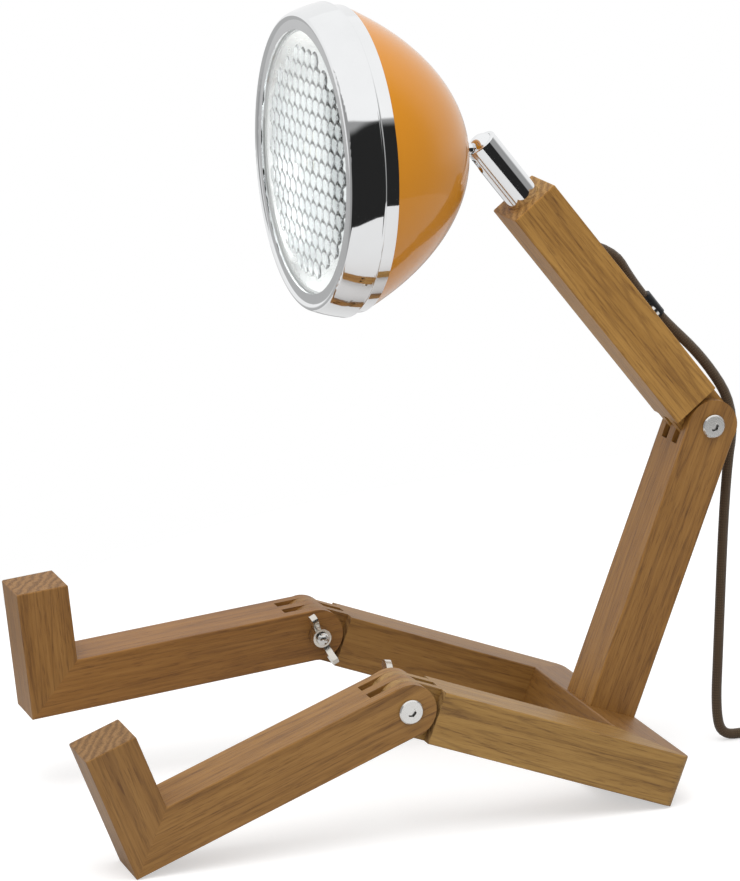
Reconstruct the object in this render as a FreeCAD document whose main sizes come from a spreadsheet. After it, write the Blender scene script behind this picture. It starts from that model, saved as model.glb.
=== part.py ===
# Robot shaped desk lamp: a wooden figure with hinged knees and elbow, and a round headlamp as its head.
# The lamp faces -Y, its left side is +X, Z is up and the table top is Z = 0. Lengths are millimetres.
import FreeCAD, Part
import math
import os
import Sketcher

from FreeCAD import Placement, Rotation, Vector

doc = FreeCAD.newDocument("robot_desk_lamp")
sheet = doc.addObject("Spreadsheet::Sheet", "sizes")

# Driving sizes: name, value, meaning.
SIZES = (
    ("beam_width", 28.5, "width of every wooden beam across the lamp"),
    ("beam_height", 25.0, "height of every wooden beam, and the depth of post and arm"),
    ("base_width", 157.0, "outer width of the seat frame"),
    ("corner_radius", 5.0, "rounding of the frame's two rear corners"),
    ("edge_radius", 0.8, "easing of the long wooden edges"),
    ("knee_reach", 143.5, "rear face of the frame to the knee pivots"),
    ("shin_reach", 144.0, "knee pivot to the sole of the foot"),
    ("foot_height", 62.0, "heel to toe tip"),
    ("post_reach", 145.0, "top of the frame to the elbow pivot"),
    ("post_setback", 1.2, "rear face of the frame to the rear face of the post"),
    ("arm_reach", 145.7, "elbow pivot to the end of the arm"),
    ("comb_reach", 13.7, "hinge pivot to the bottom of the comb slots"),
    ("comb_clearance", 0.15, "gap on each side of a tongue"),
    ("left_knee_bend", 41.7, "degrees the left shin turns down from its thigh"),
    ("right_knee_bend", 26.1, "degrees the right shin turns down from its thigh"),
    ("arm_bend", 59.2, "degrees the arm leans forward from the post"),
    ("bolt_width", 6.0, "diameter of the hinge bolts"),
    ("bolt_play", 0.08, "radial clearance of a hinge bolt"),
    ("bolt_head_width", 11.4, "diameter of the flat bolt head"),
    ("bolt_head_height", 1.7, "height of the flat bolt head"),
    ("hex_width", 4.0, "key width of the socket in the bolt head"),
    ("hex_depth", 1.3, "depth of the socket in the bolt head"),
    ("face_gap", 0.1, "gap between turning flat faces"),
    ("nut_width", 10.2, "diameter of the wing nut's hub"),
    ("nut_height", 6.0, "height of the wing nut's hub"),
    ("nut_span", 28.0, "tip to tip size of the wings"),
    ("nut_rise", 11.0, "height of the wing tips over the wood"),
    ("wing_thickness", 3.0, "thickness of a wing"),
    ("dowel_width", 6.0, "diameter of the dowels in the mitres"),
    ("dowel_length", 16.0, "length of the dowels in the mitres"),
    ("dowel_offset", 7.0, "each dowel's distance from the middle of its mitre"),
    ("screw_width", 4.0, "diameter of the two screws that hold the post"),
    ("screw_length", 60.0, "length of the two screws that hold the post"),
    ("screw_head_width", 8.0, "diameter of their countersunk heads"),
    ("screw_offset", 7.0, "each screw's distance from the middle of the post"),
    ("tube_width", 16.0, "diameter of the chrome neck tube"),
    ("tube_reach", 35.0, "neck tube above the arm"),
    ("tube_depth", 24.0, "neck tube inside the arm"),
    ("tube_play", 0.08, "radial clearance of the neck tube in the arm"),
    ("tube_bore", 11.0, "bore of the neck tube under its ball seat"),
    ("ball_width", 14.2, "diameter of the neck ball"),
    ("ball_play", 0.08, "radial clearance of the ball in its seat"),
    ("ball_drop", 3.7, "mouth of the neck tube to the ball's centre"),
    ("stud_width", 6.0, "diameter of the stud on the ball"),
    ("stud_reach", 24.0, "ball centre to the end of the stud"),
    ("stud_bore", 3.6, "bore for the lead through ball and stud"),
    ("slot_play", 0.4, "room on each side of the stud in the neck tube's slot"),
    ("slot_depth", 12.0, "depth of the slot in the neck tube"),
    ("collar_width", 11.0, "diameter of the collar that seats on the shell"),
    ("collar_height", 1.6, "height of the collar that seats on the shell"),
    ("washer_height", 1.0, "height of the washer inside the shell"),
    ("stud_nut_width", 10.0, "key width of the nut inside the shell"),
    ("stud_nut_height", 5.0, "height of the nut inside the shell"),
    ("bowl_reach", 11.0, "ball centre to the back of the shell"),
    ("bowl_depth", 55.9, "back of the shell to the rear edge of the bezel"),
    ("bowl_half_width", 88.8, "half width of the ellipse that the shell follows"),
    ("bowl_rim_radius", 69.7, "radius of the shell at the bezel"),
    ("bowl_wall", 1.2, "sheet thickness of the shell"),
    ("bowl_lip", 5.0, "cylindrical lip of the shell inside the bezel"),
    ("vent_length", 6.0, "length of the slot in the back of the shell"),
    ("vent_width", 1.8, "width of the slot in the back of the shell"),
    ("vent_radius", 11.0, "distance of that slot from the stud"),
    ("bezel_wall", 0.9, "sheet thickness of the bezel"),
    ("bezel_play", 0.1, "gap between the shell and the bezel"),
    ("bezel_inset", 0.6, "step of the shell inwards under the bezel"),
    ("band_roll", 1.5, "rounding between the bezel's wide band and its step"),
    ("bezel_bulge", 60.0, "radius of the wide band's swelling"),
    ("bezel_screw_width", 3.0, "diameter of the screw under the bezel"),
    ("bezel_depth", 22.1, "depth of the bezel"),
    ("rear_band", 6.2, "depth of the bezel's rear band"),
    ("band_step", 2.0, "step from the wide band down to the rear band"),
    ("bead_radius", 66.2, "radius of the bezel's front bead"),
    ("lip_radius", 60.0, "radius of the bezel's opening"),
    ("lip_set", 0.9, "how far the lip lies behind the bead"),
    ("lens_radius", 63.5, "radius of the lens"),
    ("lens_thickness", 3.0, "thickness of the lens at its edge"),
    ("lens_dome", 3.5, "rise of the lens at its middle"),
    ("lens_play", 0.3, "gap between the domed glass and the bezel's lip"),
    ("gasket_thickness", 1.5, "thickness of the lens gasket"),
    ("reflector_wall", 1.0, "sheet thickness of the reflector"),
    ("reflector_radius", 59.0, "radius of the reflector at its flange"),
    ("reflector_throat", 16.0, "radius of the reflector at the light source"),
    ("reflector_depth", 36.0, "depth of the reflector"),
    ("reflector_bow", 62.0, "radius of the reflector's curve"),
    ("spring_wire", 1.6, "wire of the spring ring behind the reflector"),
    ("sink_slot", 3.0, "width of the heat sink's slots"),
    ("board_radius", 18.5, "radius of the light board"),
    ("board_thickness", 1.6, "thickness of the light board"),
    ("emitter_radius", 9.0, "radius of the light emitter"),
    ("sink_depth", 14.0, "depth of the heat sink"),
    ("lead_width", 3.0, "diameter of the inner lead"),
    ("cord_width", 5.0, "diameter of the braided cord"),
    ("cord_hole_play", 0.3, "radial clearance of the cord in the arm"),
    ("channel_width", 8.0, "diameter of the lead's channel in the arm"),
    ("exit_distance", 41.0, "end of the arm to the middle of the cord's hole"),
    ("exit_slope", 40.0, "degrees between the cord's hole and the back of the arm"),
    ("clip_distance", 86.0, "end of the arm to the cord clip"),
    ("clip_length", 12.0, "length of the cord clip along the arm"),
    ("clip_wall", 1.2, "thickness of the cord clip"),
    ("clip_lug", 8.0, "width of the clip's screw lug"),
    ("clip_shift", 4.6, "sideways distance of the clipped cord from the arm's middle"),
    ("clip_screw_width", 3.0, "diameter of the clip's screw"),
    ("clip_screw_length", 10.0, "length of the clip's screw in the wood"),
    ("turn_pitch", 5.6, "distance between neighbouring turns of the coil"),
    ("coil_layer", 5.5, "height between the coil's two layers"),
    ("coil_inner_radius", 16.5, "radius of the coil's innermost turn"),
    ("plug_length", 34.0, "length of the plug's body"),
    ("plug_width", 33.0, "width of the plug's body"),
    ("plug_height", 13.0, "height of the plug's body"),
    ("pin_width", 4.0, "diameter of the plug's pins"),
    ("pin_length", 19.0, "length of the plug's pins"),
    ("pin_spacing", 19.0, "distance between the plug's pins"),
    ("switch_length", 58.0, "length of the switch on the cord"),
    ("switch_width", 25.0, "width of the switch on the cord"),
    ("switch_height", 18.0, "height of the switch on the cord"),
    ("switch_wall", 2.0, "wall of the switch housing"),
    ("rocker_length", 17.0, "length of the rocker"),
    ("rocker_width", 10.0, "width of the rocker"),
    ("rocker_play", 0.4, "gap round the rocker"),
    ("rocker_height", 8.0, "depth of the recess for the rocker"),
    ("rocker_pivot", 3.0, "top of the switch to the rocker's pin"),
    ("rocker_pin", 2.0, "diameter of the rocker's pin"),
    ("rocker_tilt", 6.0, "degrees the rocker stands tilted"),
    ("switch_bore", 6.0, "depth of the cord in the switch and the plug"),
    ("relief_length", 24.0, "length of the strain relief on the plug"),
)


class Size:
    """A length or angle with its number and the expression that binds it to the spreadsheet."""

    def __init__(self, value, text):
        self.value = float(value)
        self.text = text

    def _join(self, other, sign, value):
        text = other.text if isinstance(other, Size) else repr(float(other))
        return Size(value, f"({self.text} {sign} {text})")

    def __add__(self, other):
        return self._join(other, "+", self.value + number(other))

    def __sub__(self, other):
        return self._join(other, "-", self.value - number(other))

    def __mul__(self, other):
        return self._join(other, "*", self.value * number(other))

    def __truediv__(self, other):
        return self._join(other, "/", self.value / number(other))

    def __neg__(self):
        return Size(-self.value, f"(0 - {self.text})")


def number(value):
    return value.value if isinstance(value, Size) else float(value)


class Sizes:
    """The spreadsheet's sizes by name."""

    def __init__(self, rows):
        for row, (name, value, meaning) in enumerate(rows, start=1):
            sheet.set(f"A{row}", meaning)
            sheet.set(f"B{row}", str(value))
            sheet.setAlias(f"B{row}", name)
            setattr(self, name, Size(value, f"<<sizes>>.{name}"))


d = Sizes(SIZES)
doc.recompute()

half_width = d.beam_width / 2
half_height = d.beam_height / 2
lane = d.beam_width / 5
knee_x = d.base_width / 2 - half_width
bolt_radius = d.bolt_width / 2
bolt_hole = bolt_radius + d.bolt_play
pieces = {}


# Sketches and features. Each point of an outline is pinned to the sheet by its two coordinates.
def plane_of(body, role):
    return next(item for item in body.Origin.OriginFeatures if item.Role == role)


def new_sketch(body, name, role, lift=None):
    sketch = body.newObject("Sketcher::SketchObject", name)
    sketch.AttachmentSupport = [(plane_of(body, role), "")]
    sketch.MapMode = "FlatFace"
    if lift is not None:
        sketch.AttachmentOffset = Placement(Vector(0, 0, number(lift)), Rotation())
        sketch.setExpression("AttachmentOffset.Base.z", lift.text)
    return sketch


def pin(sketch, geometry, end, point):
    for kind, coordinate in zip(("DistanceX", "DistanceY"), point):
        value = number(coordinate)
        index = sketch.addConstraint(Sketcher.Constraint(kind, -1, 1, geometry, end, value))
        if isinstance(coordinate, Size):
            sketch.setExpression(f"Constraints[{index}]", coordinate.text)


def arc_between(start, finish, radius, side):
    """The arc from start to finish, with its centre to the left (side 1) or right (side -1)."""
    chord = finish - start
    middle = (start + finish) / 2
    reach = math.sqrt(max(radius ** 2 - chord.Length ** 2 / 4, 0.0))
    normal = Vector(-chord.y, chord.x, 0).normalize()
    centre = middle + normal * (side * reach)
    ends = [math.atan2(point.y - centre.y, point.x - centre.x) for point in (start, finish)]
    if side < 0:
        ends.reverse()
    circle = Part.Circle(centre, Vector(0, 0, 1), radius)
    return Part.ArcOfCircle(circle, ends[0], ends[1])


def outline(sketch, points):
    """A closed outline. A point is (x, y), or (x, y, radius, side) when an arc leads up to it."""
    flat = [Vector(number(point[0]), number(point[1]), 0) for point in points]
    count = len(points)
    first_index = sketch.GeometryCount
    ends = []
    for k in range(count):
        start, finish, step = flat[k], flat[(k + 1) % count], points[(k + 1) % count]
        if len(step) == 2:
            sketch.addGeometry(Part.LineSegment(start, finish), False)
            ends.append((1, 2))
            continue
        radius, side = step[2], step[3]
        index = sketch.addGeometry(arc_between(start, finish, number(radius), side), False)
        ends.append((1, 2) if side > 0 else (2, 1))
        rule = sketch.addConstraint(Sketcher.Constraint("Radius", index, number(radius)))
        if isinstance(radius, Size):
            sketch.setExpression(f"Constraints[{rule}]", radius.text)
    for k in range(count):
        after = (k + 1) % count
        joint = Sketcher.Constraint("Coincident", first_index + k, ends[k][1], first_index + after,
                                    ends[after][0])
        sketch.addConstraint(joint)
    for k in range(count):
        pin(sketch, first_index + k, ends[k][0], points[k])


def circle(sketch, centre, radius):
    spot = Vector(number(centre[0]), number(centre[1]), 0)
    index = sketch.addGeometry(Part.Circle(spot, Vector(0, 0, 1), number(radius)), False)
    rule = sketch.addConstraint(Sketcher.Constraint("Radius", index, number(radius)))
    sketch.setExpression(f"Constraints[{rule}]", radius.text)
    pin(sketch, index, 3, centre)


def new_body(name):
    return doc.addObject("PartDesign::Body", name)


def pad(body, sketch, length, symmetric=False, reverse=False):
    feature = body.newObject("PartDesign::Pad", sketch.Name + "_pad")
    feature.Profile = sketch
    feature.Length = number(length)
    feature.setExpression("Length", length.text)
    feature.Midplane = symmetric
    feature.Reversed = reverse
    sketch.Visibility = False
    return feature


def pocket(body, sketch, symmetric=True):
    feature = body.newObject("PartDesign::Pocket", sketch.Name + "_pocket")
    feature.Profile = sketch
    feature.Type = "ThroughAll"
    feature.Midplane = symmetric
    sketch.Visibility = False
    return feature


def turned(body, sketch, axis="V_Axis"):
    feature = body.newObject("PartDesign::Revolution", sketch.Name + "_turned")
    feature.Profile = sketch
    feature.ReferenceAxis = (sketch, [axis])
    feature.Angle = 360
    sketch.Visibility = False
    return feature


def ease(body, feature, radius, chosen):
    """Rounds the edges of a feature that the function chosen accepts."""
    doc.recompute()
    names = [f"Edge{k}" for k, edge in enumerate(feature.Shape.Edges, start=1) if chosen(edge)]
    fillet = body.newObject("PartDesign::Fillet", feature.Name + "_eased")
    fillet.Base = (feature, names)
    fillet.Radius = number(radius)
    fillet.setExpression("Radius", radius.text)
    return fillet


def cylinder(name, radius, length, place):
    """A Part cylinder whose axis starts at the place and runs along its Z."""
    solid = doc.addObject("Part::Cylinder", name)
    solid.Radius = number(radius)
    solid.Height = number(length)
    solid.setExpression("Radius", radius.text)
    solid.setExpression("Height", length.text)
    solid.Placement = place
    return solid


def cut(name, base, tools):
    group = doc.addObject("Part::Compound", name + "_tools")
    group.Links = tools
    result = doc.addObject("Part::Cut", name)
    result.Base = base
    result.Tool = group
    return result


def together(name, solids):
    group = doc.addObject("Part::Compound", name)
    group.Links = solids
    return group


def shaped(name, shape):
    item = doc.addObject("Part::Feature", name)
    item.Shape = shape
    return item


def keep(node, item, place=Placement()):
    """Names a finished sub-part and puts it where it belongs on the lamp."""
    item.Label = node
    item.Placement = place
    pieces[node] = item


def along(point, direction):
    """The placement that turns Z to a direction at a point."""
    return Placement(point, Rotation(Vector(0, 0, 1), direction))


def straight(edge, axis):
    line = edge.Vertexes[-1].Point - edge.Vertexes[0].Point
    return line.Length > 1 and abs(line.normalize().dot(axis)) > 0.999


# Frames. The seat frame leans back until the left heel and its own rear edge stand on the table.
def degrees_down(angle):
    return Rotation(Vector(1, 0, 0), number(angle))


bend = math.radians(number(d.left_knee_bend))
heel_drop = (number(d.shin_reach) * math.sin(bend) + number(half_height) * math.cos(bend)
             - number(half_height))
heel_reach = (number(d.knee_reach) + number(d.shin_reach) * math.cos(bend)
              - number(half_height) * math.sin(bend))
lean = math.atan2(heel_drop, heel_reach)

tilted = Placement(Vector(), degrees_down(-math.degrees(lean)))
elbow_point = Vector(0, -number(d.post_setback + half_height), number(d.beam_height + d.post_reach))
arm_local = Placement(elbow_point, degrees_down(d.arm_bend))
ball_reach = d.arm_reach + d.tube_reach - d.ball_drop
ball_point = tilted.multVec(arm_local.multVec(Vector(0, 0, number(ball_reach))))
front_reach = d.bowl_reach + d.bowl_depth + d.bezel_depth

# The origin lies under the middle of the lamp without its cord: halfway from the tip of the
# further toe to the back of the elbow.
bend_right = math.radians(number(d.right_knee_bend) - math.degrees(lean))
bend_left = math.radians(number(d.left_knee_bend) - math.degrees(lean))


def toe_tip(turn):
    """How far forward a toe's lower front edge reaches."""
    knee = tilted.multVec(Vector(0, -number(d.knee_reach), number(half_height)))
    tip = -number(d.shin_reach) * math.cos(turn)
    toe = tip - (number(d.foot_height) - number(half_height)) * math.sin(turn)
    heel = tip + number(half_height) * math.sin(turn)
    return knee.y + min(toe, heel)


front_edge = min(toe_tip(bend_left), toe_tip(bend_right), ball_point.y - number(front_reach))
rear_edge = tilted.multVec(elbow_point).y + number(half_height)
shift = Placement(Vector(0, -(front_edge + rear_edge) / 2, 0), Rotation())
seat_place = shift.multiply(tilted)
arm_place = seat_place.multiply(arm_local)
head_place = Placement(shift.multVec(ball_point), Rotation())


def shin_place(side, angle):
    knee = Placement(Vector(side * number(knee_x), -number(d.knee_reach), number(half_height)),
                     degrees_down(angle))
    return seat_place.multiply(knee)


# Wooden beams.
def hinge_hole(body, name, y, z, radius):
    sketch = new_sketch(body, name, "YZ_Plane")
    circle(sketch, (y, z), radius)
    return pocket(body, sketch)


def tongue_lanes(body, name, role, start, finish, lanes):
    """Slots cut through a beam over some of its five lanes, counted from its middle."""
    sketch = new_sketch(body, name, role)
    for low, high in lanes:
        outline(sketch, [(low, start), (high, start), (high, finish), (low, finish)])
    return pocket(body, sketch)


def tine_slots(centre):
    return [(centre + lane * (k - 0.5), centre + lane * (k + 0.5)) for k in (-1, 1)]


def tongue_slots(centre):
    """The room for three tines beside two tongues, which are thinner than a lane by the clearance."""
    gap = d.comb_clearance
    outer = centre + half_width + 1
    inner = centre - half_width - 1
    return [
        (inner, centre - lane * 1.5 + gap),
        (centre - lane * 0.5 - gap, centre + lane * 0.5 + gap),
        (centre + lane * 1.5 - gap, outer),
    ]


def mitre_dowels(name, middle, across, direction):
    """Two dowels side by side across a mitre, square to it."""
    found = []
    for k in (-1, 1):
        start = middle + across * (k * number(d.dowel_offset)) - direction * number(d.dowel_length / 2)
        found.append(cylinder(f"{name}_{k + 2}", d.dowel_width / 2, d.dowel_length,
                              along(start, direction)))
    return found


frame_mitre = number(d.base_width / 2 - half_width)
zero = half_height - half_height
corner_cut = d.corner_radius * (1 - math.sqrt(0.5))


def frame_mitre_dowels(name, side):
    middle = Vector(side * frame_mitre, -number(half_width), number(half_height))
    across = Vector(side, 1, 0).normalize()
    return mitre_dowels(name, middle, across, Vector(-side, 1, 0).normalize())


def build_crosspiece():
    body = new_body("crosspiece_beam")
    sketch = new_sketch(body, "crosspiece_plan", "XY_Plane")
    outer = d.base_width / 2
    inner = d.base_width / 2 - d.beam_width
    outline(sketch, [
        (-inner, -d.beam_width),
        (inner, -d.beam_width),
        (outer - corner_cut, -corner_cut),
        (outer - d.corner_radius, zero, d.corner_radius, 1),
        (-(outer - d.corner_radius), zero),
        (-(outer - corner_cut), -corner_cut, d.corner_radius, 1),
    ])
    beam = pad(body, sketch, d.beam_height)
    depth = number(d.beam_width)
    top = number(d.beam_height)

    def eased(edge):
        middle = edge.CenterOfMass
        front = abs(middle.y + depth) < 0.01
        rear_top = abs(middle.y) < 0.01 and abs(middle.z - top) < 0.01
        return straight(edge, Vector(1, 0, 0)) and (front or rear_top)

    ease(body, beam, d.edge_radius, eased)
    middle_y = -number(d.post_setback + half_height)
    tools = frame_mitre_dowels("crosspiece_left_bore", 1) + frame_mitre_dowels("crosspiece_right_bore", -1)
    for k in (-1, 1):
        spot = Vector(k * number(d.screw_offset), middle_y, 0)
        tools.append(cylinder(f"post_screw_hole_{k + 2}", d.screw_width / 2, d.beam_height,
                              along(spot, Vector(0, 0, 1))))
        sink = doc.addObject("Part::Cone", f"post_screw_sink_{k + 2}")
        sink.setExpression("Radius1", (d.screw_head_width / 2).text)
        sink.setExpression("Radius2", (d.screw_width / 2).text)
        sink.setExpression("Height", ((d.screw_head_width - d.screw_width) / 2).text)
        sink.Placement = Placement(spot, Rotation())
        tools.append(sink)
    keep("base_crosspiece", cut("crosspiece", body, tools), seat_place)


def build_rail(name, side):
    body = new_body(name + "_beam")
    sketch = new_sketch(body, name + "_plan", "XY_Plane")
    outer = (d.base_width / 2) * side
    inner = (d.base_width / 2 - d.beam_width) * side
    outline(sketch, [
        (inner, -d.beam_width),
        (inner, -d.knee_reach),
        (outer, -d.knee_reach),
        (outer, -d.corner_radius),
        (outer - corner_cut * side, -corner_cut, d.corner_radius, side),
    ])
    beam = pad(body, sketch, d.beam_height)
    ease(body, beam, d.edge_radius, lambda edge: straight(edge, Vector(0, 1, 0)))
    end = new_sketch(body, name + "_round_end", "YZ_Plane",
                     d.base_width / 2 * side - half_width * side - half_width)
    circle(end, (-d.knee_reach, half_height), half_height)
    pad(body, end, d.beam_width)
    tongue_lanes(body, name + "_slots", "XY_Plane", -(d.knee_reach - d.comb_reach),
                 -(d.knee_reach + half_height + 1), tongue_slots((d.base_width / 2 - half_width) * side))
    hinge_hole(body, name + "_hole", -d.knee_reach, half_height, bolt_hole)
    keep(f"base_{name}", cut(name, body, frame_mitre_dowels(name + "_bore", side)), seat_place)


def build_post():
    body = new_body("post_beam")
    sketch = new_sketch(body, "post_side", "YZ_Plane")
    rear = -d.post_setback
    front = -(d.post_setback + d.beam_height)
    top = d.beam_height + d.post_reach
    outline(sketch, [(front, d.beam_height), (rear, d.beam_height), (rear, top), (front, top)])
    beam = pad(body, sketch, d.beam_width, symmetric=True)
    ease(body, beam, d.edge_radius, lambda edge: straight(edge, Vector(0, 0, 1)))
    end = new_sketch(body, "post_round_end", "YZ_Plane", -half_width)
    circle(end, (-(d.post_setback + half_height), top), half_height)
    pad(body, end, d.beam_width)
    tongue_lanes(body, "post_slots", "XZ_Plane", top - d.comb_reach, top + half_height + 1,
                 tine_slots(zero))
    hinge_hole(body, "post_hole", -(d.post_setback + half_height), top, bolt_radius)
    tools = []
    for k in (-1, 1):
        spot = Vector(k * number(d.screw_offset), number(-(d.post_setback + half_height)), 0)
        tools.append(cylinder(f"post_pilot_{k + 2}", d.screw_width / 2, d.screw_length,
                              along(spot, Vector(0, 0, 1))))
    keep("post", cut("post_drilled", body, tools), seat_place)


def build_shin(name, side, angle):
    """A shin with three tines at the knee, and a foot mitred on at its heel."""
    place = shin_place(side, angle)
    heel = -d.shin_reach
    instep = -(d.shin_reach - d.beam_height)
    body = new_body(name + "_shin_beam")
    sketch = new_sketch(body, name + "_shin_side", "YZ_Plane")
    outline(sketch, [(heel, -half_height), (zero, -half_height), (zero, half_height),
                     (instep, half_height)])
    beam = pad(body, sketch, d.beam_width, symmetric=True)
    ease(body, beam, d.edge_radius, lambda edge: straight(edge, Vector(0, 1, 0)))
    end = new_sketch(body, name + "_shin_round_end", "YZ_Plane", -half_width)
    circle(end, (zero, zero), half_height)
    pad(body, end, d.beam_width)
    tongue_lanes(body, name + "_shin_slots", "XY_Plane", -d.comb_reach, half_height + 1, tine_slots(zero))
    hinge_hole(body, name + "_shin_hole", zero, zero, bolt_radius)
    middle = Vector(0, -number(d.shin_reach - half_height), 0)
    slope = Vector(0, -1, 1).normalize()
    bores = mitre_dowels(name + "_shin_bore", middle, Vector(1, 0, 0), slope)
    keep(f"{name}_shin", cut(name + "_shin_drilled", body, bores), place)

    toe = d.foot_height - half_height
    block = new_body(name + "_foot_block")
    side_view = new_sketch(block, name + "_foot_side", "YZ_Plane")
    outline(side_view, [(heel, -half_height), (instep, half_height), (instep, toe), (heel, toe)])
    foot = pad(block, side_view, d.beam_width, symmetric=True)
    top = number(toe)

    def eased(edge):
        return straight(edge, Vector(0, 0, 1)) or abs(edge.CenterOfMass.z - top) < 0.01

    ease(block, foot, d.edge_radius, eased)
    bores = mitre_dowels(name + "_foot_bore", middle, Vector(1, 0, 0), slope)
    keep(f"{name}_foot", cut(name + "_foot_drilled", block, bores), place)
    pegs = mitre_dowels(name + "_foot_peg", middle, Vector(1, 0, 0), slope)
    keep(f"{name}_foot_dowels", together(name + "_foot_pegs", pegs), place)


def build_arm():
    body = new_body("arm_beam")
    sketch = new_sketch(body, "arm_side", "YZ_Plane")
    outline(sketch, [
        (-half_height, zero), (half_height, zero), (half_height, d.arm_reach), (-half_height, d.arm_reach),
    ])
    beam = pad(body, sketch, d.beam_width, symmetric=True)
    top = number(d.arm_reach)

    def eased(edge):
        return straight(edge, Vector(0, 0, 1)) or abs(edge.CenterOfMass.z - top) < 0.01

    ease(body, beam, d.edge_radius, eased)
    end = new_sketch(body, "arm_round_end", "YZ_Plane", -half_width)
    circle(end, (zero, zero), half_height)
    pad(body, end, d.beam_width)
    tongue_lanes(body, "arm_slots", "XZ_Plane", d.comb_reach, -(half_height + 1), tongue_slots(zero))
    hinge_hole(body, "arm_hole", zero, zero, bolt_hole)
    neck = cylinder("arm_neck_bore", d.tube_width / 2 + d.tube_play, d.tube_depth + 1,
                    Placement(Vector(0, 0, number(d.arm_reach - d.tube_depth)), Rotation()))
    channel_length = d.exit_distance + d.channel_width / 2
    channel = cylinder("arm_channel", d.channel_width / 2, channel_length,
                       Placement(Vector(0, 0, number(d.arm_reach - channel_length)), Rotation()))
    hole = cylinder("arm_cord_hole", d.cord_width / 2 + d.cord_hole_play, half_height * 3,
                    along(exit_point, exit_direction.negative()))
    hole.Placement = along(exit_point + exit_direction * number(half_height), exit_direction.negative())
    mouth = tube("arm_cord_mouth", arm_cord_edges, number(d.cord_width / 2 + d.cord_hole_play))
    pilot = cylinder("clip_pilot", d.clip_screw_width / 2, d.clip_screw_length,
                     along(clip_screw_point, Vector(0, -1, 0)))
    keep("arm", cut("arm_drilled", body, [neck, channel, hole, mouth, pilot]), arm_place)


# The cord leaves the back of the arm at a slant, towards the elbow.
slope = math.radians(number(d.exit_slope))
exit_direction = Vector(0, math.sin(slope), -math.cos(slope))
exit_point = Vector(0, number(half_height), number(d.arm_reach - d.exit_distance))


cord_radius = d.cord_width / 2
clip_middle = number(d.arm_reach - d.clip_distance)
clip_screw_point = Vector(number(cord_radius + d.clip_wall + d.clip_lug / 2 - d.clip_shift),
                          number(half_height),
                          clip_middle)


# Hinge hardware: each hinge has a flat headed bolt and a wing nut.
def build_bolt(node, place):
    """A bolt along +Z with its head at the bottom; its domed end stands out of the wing nut."""
    body = new_body(node + "_turned")
    sketch = new_sketch(body, node + "_profile", "XZ_Plane")
    head = d.bolt_head_width / 2
    bevel = d.bolt_head_height / 3
    grip = d.beam_width + d.face_gap + d.nut_height + 1.5
    outline(sketch, [
        (zero, -d.bolt_head_height),
        (head - bevel, -d.bolt_head_height),
        (head, -(d.bolt_head_height - bevel)),
        (head, zero),
        (d.bolt_width / 2, zero),
        (d.bolt_width / 2, grip),
        (zero, grip + bolt_radius * 0.6, (bolt_radius * (1 + 0.36)) / 1.2, 1),
    ])
    turned(body, sketch)
    socket = new_sketch(body, node + "_socket", "XY_Plane", -d.bolt_head_height)
    radius = d.hex_width / math.sqrt(3)
    corners = []
    for k in range(6):
        angle = math.radians(60 * k)
        corners.append((radius * math.cos(angle), radius * math.sin(angle)))
    outline(socket, corners)
    feature = body.newObject("PartDesign::Pocket", node + "_socket_pocket")
    feature.Profile = socket
    feature.Length = number(d.hex_depth)
    feature.setExpression("Length", d.hex_depth.text)
    feature.Reversed = True
    keep(node, body, place)


def build_wing_nut(node, place):
    """A wing nut along +Z: a tapered hub, two swept wings and a bore for the bolt."""
    body = new_body(node + "_blank")
    hub = new_sketch(body, node + "_hub", "XZ_Plane")
    radius = d.nut_width / 2
    outline(hub, [
        (zero, zero), (radius, zero), (radius - 0.6, d.nut_height), (zero, d.nut_height),
    ])
    turned(body, hub)
    wings = new_sketch(body, node + "_wings", "XZ_Plane")
    tip = d.nut_span / 2
    rise = d.nut_rise
    for side in (1, -1):
        outline(wings, [
            ((radius - 1.6) * side, d.nut_height * 0.12),
            ((radius + 1.2) * side, d.nut_height * 0.12),
            ((tip - 0.8) * side, rise - 5.0, (tip - radius) * 1.3, side),
            ((tip - 3.2) * side, rise, d.nut_span / 9, side),
            ((radius - 1.6) * side, d.nut_height * 0.9, (tip - radius) * 1.4, -side),
        ])
    pad(body, wings, d.wing_thickness, symmetric=True)
    bore = new_sketch(body, node + "_bore", "XY_Plane")
    circle(bore, (zero, zero), bolt_hole)
    pocket(body, bore)
    keep(node, body, place)


def build_hinge(name, place, side, turn):
    """The bolt of one hinge, its head on one side and its wing nut on the other."""
    inward = Vector(-side, 0, 0)
    head_seat = Vector(side * number(half_width), 0, 0)
    nut_seat = Vector(-side * number(half_width + d.face_gap), 0, 0)
    build_bolt(f"{name}_bolt", place.multiply(along(head_seat, inward)))
    about = Placement(Vector(), Rotation(Vector(1, 0, 0), turn))
    build_wing_nut(f"{name}_wing_nut", place.multiply(about.multiply(along(nut_seat, inward))))


def build_screws():
    """The two countersunk screws that hold the post on the crosspiece from below."""
    found = []
    for k in (-1, 1):
        body = new_body(f"post_screw_{k + 2}")
        sketch = new_sketch(body, f"post_screw_profile_{k + 2}", "XZ_Plane")
        radius = d.screw_width / 2
        head = d.screw_head_width / 2
        outline(sketch, [
            (zero, zero), (head, zero), (radius, head - radius), (radius, d.screw_length - radius * 2),
            (zero, d.screw_length),
        ])
        turned(body, sketch)
        middle_y = -number(d.post_setback + half_height)
        body.Placement = Placement(Vector(k * number(d.screw_offset), middle_y, 0), Rotation())
        found.append(body)
    keep("post_screws", together("post_screw_pair", found), seat_place)


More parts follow.
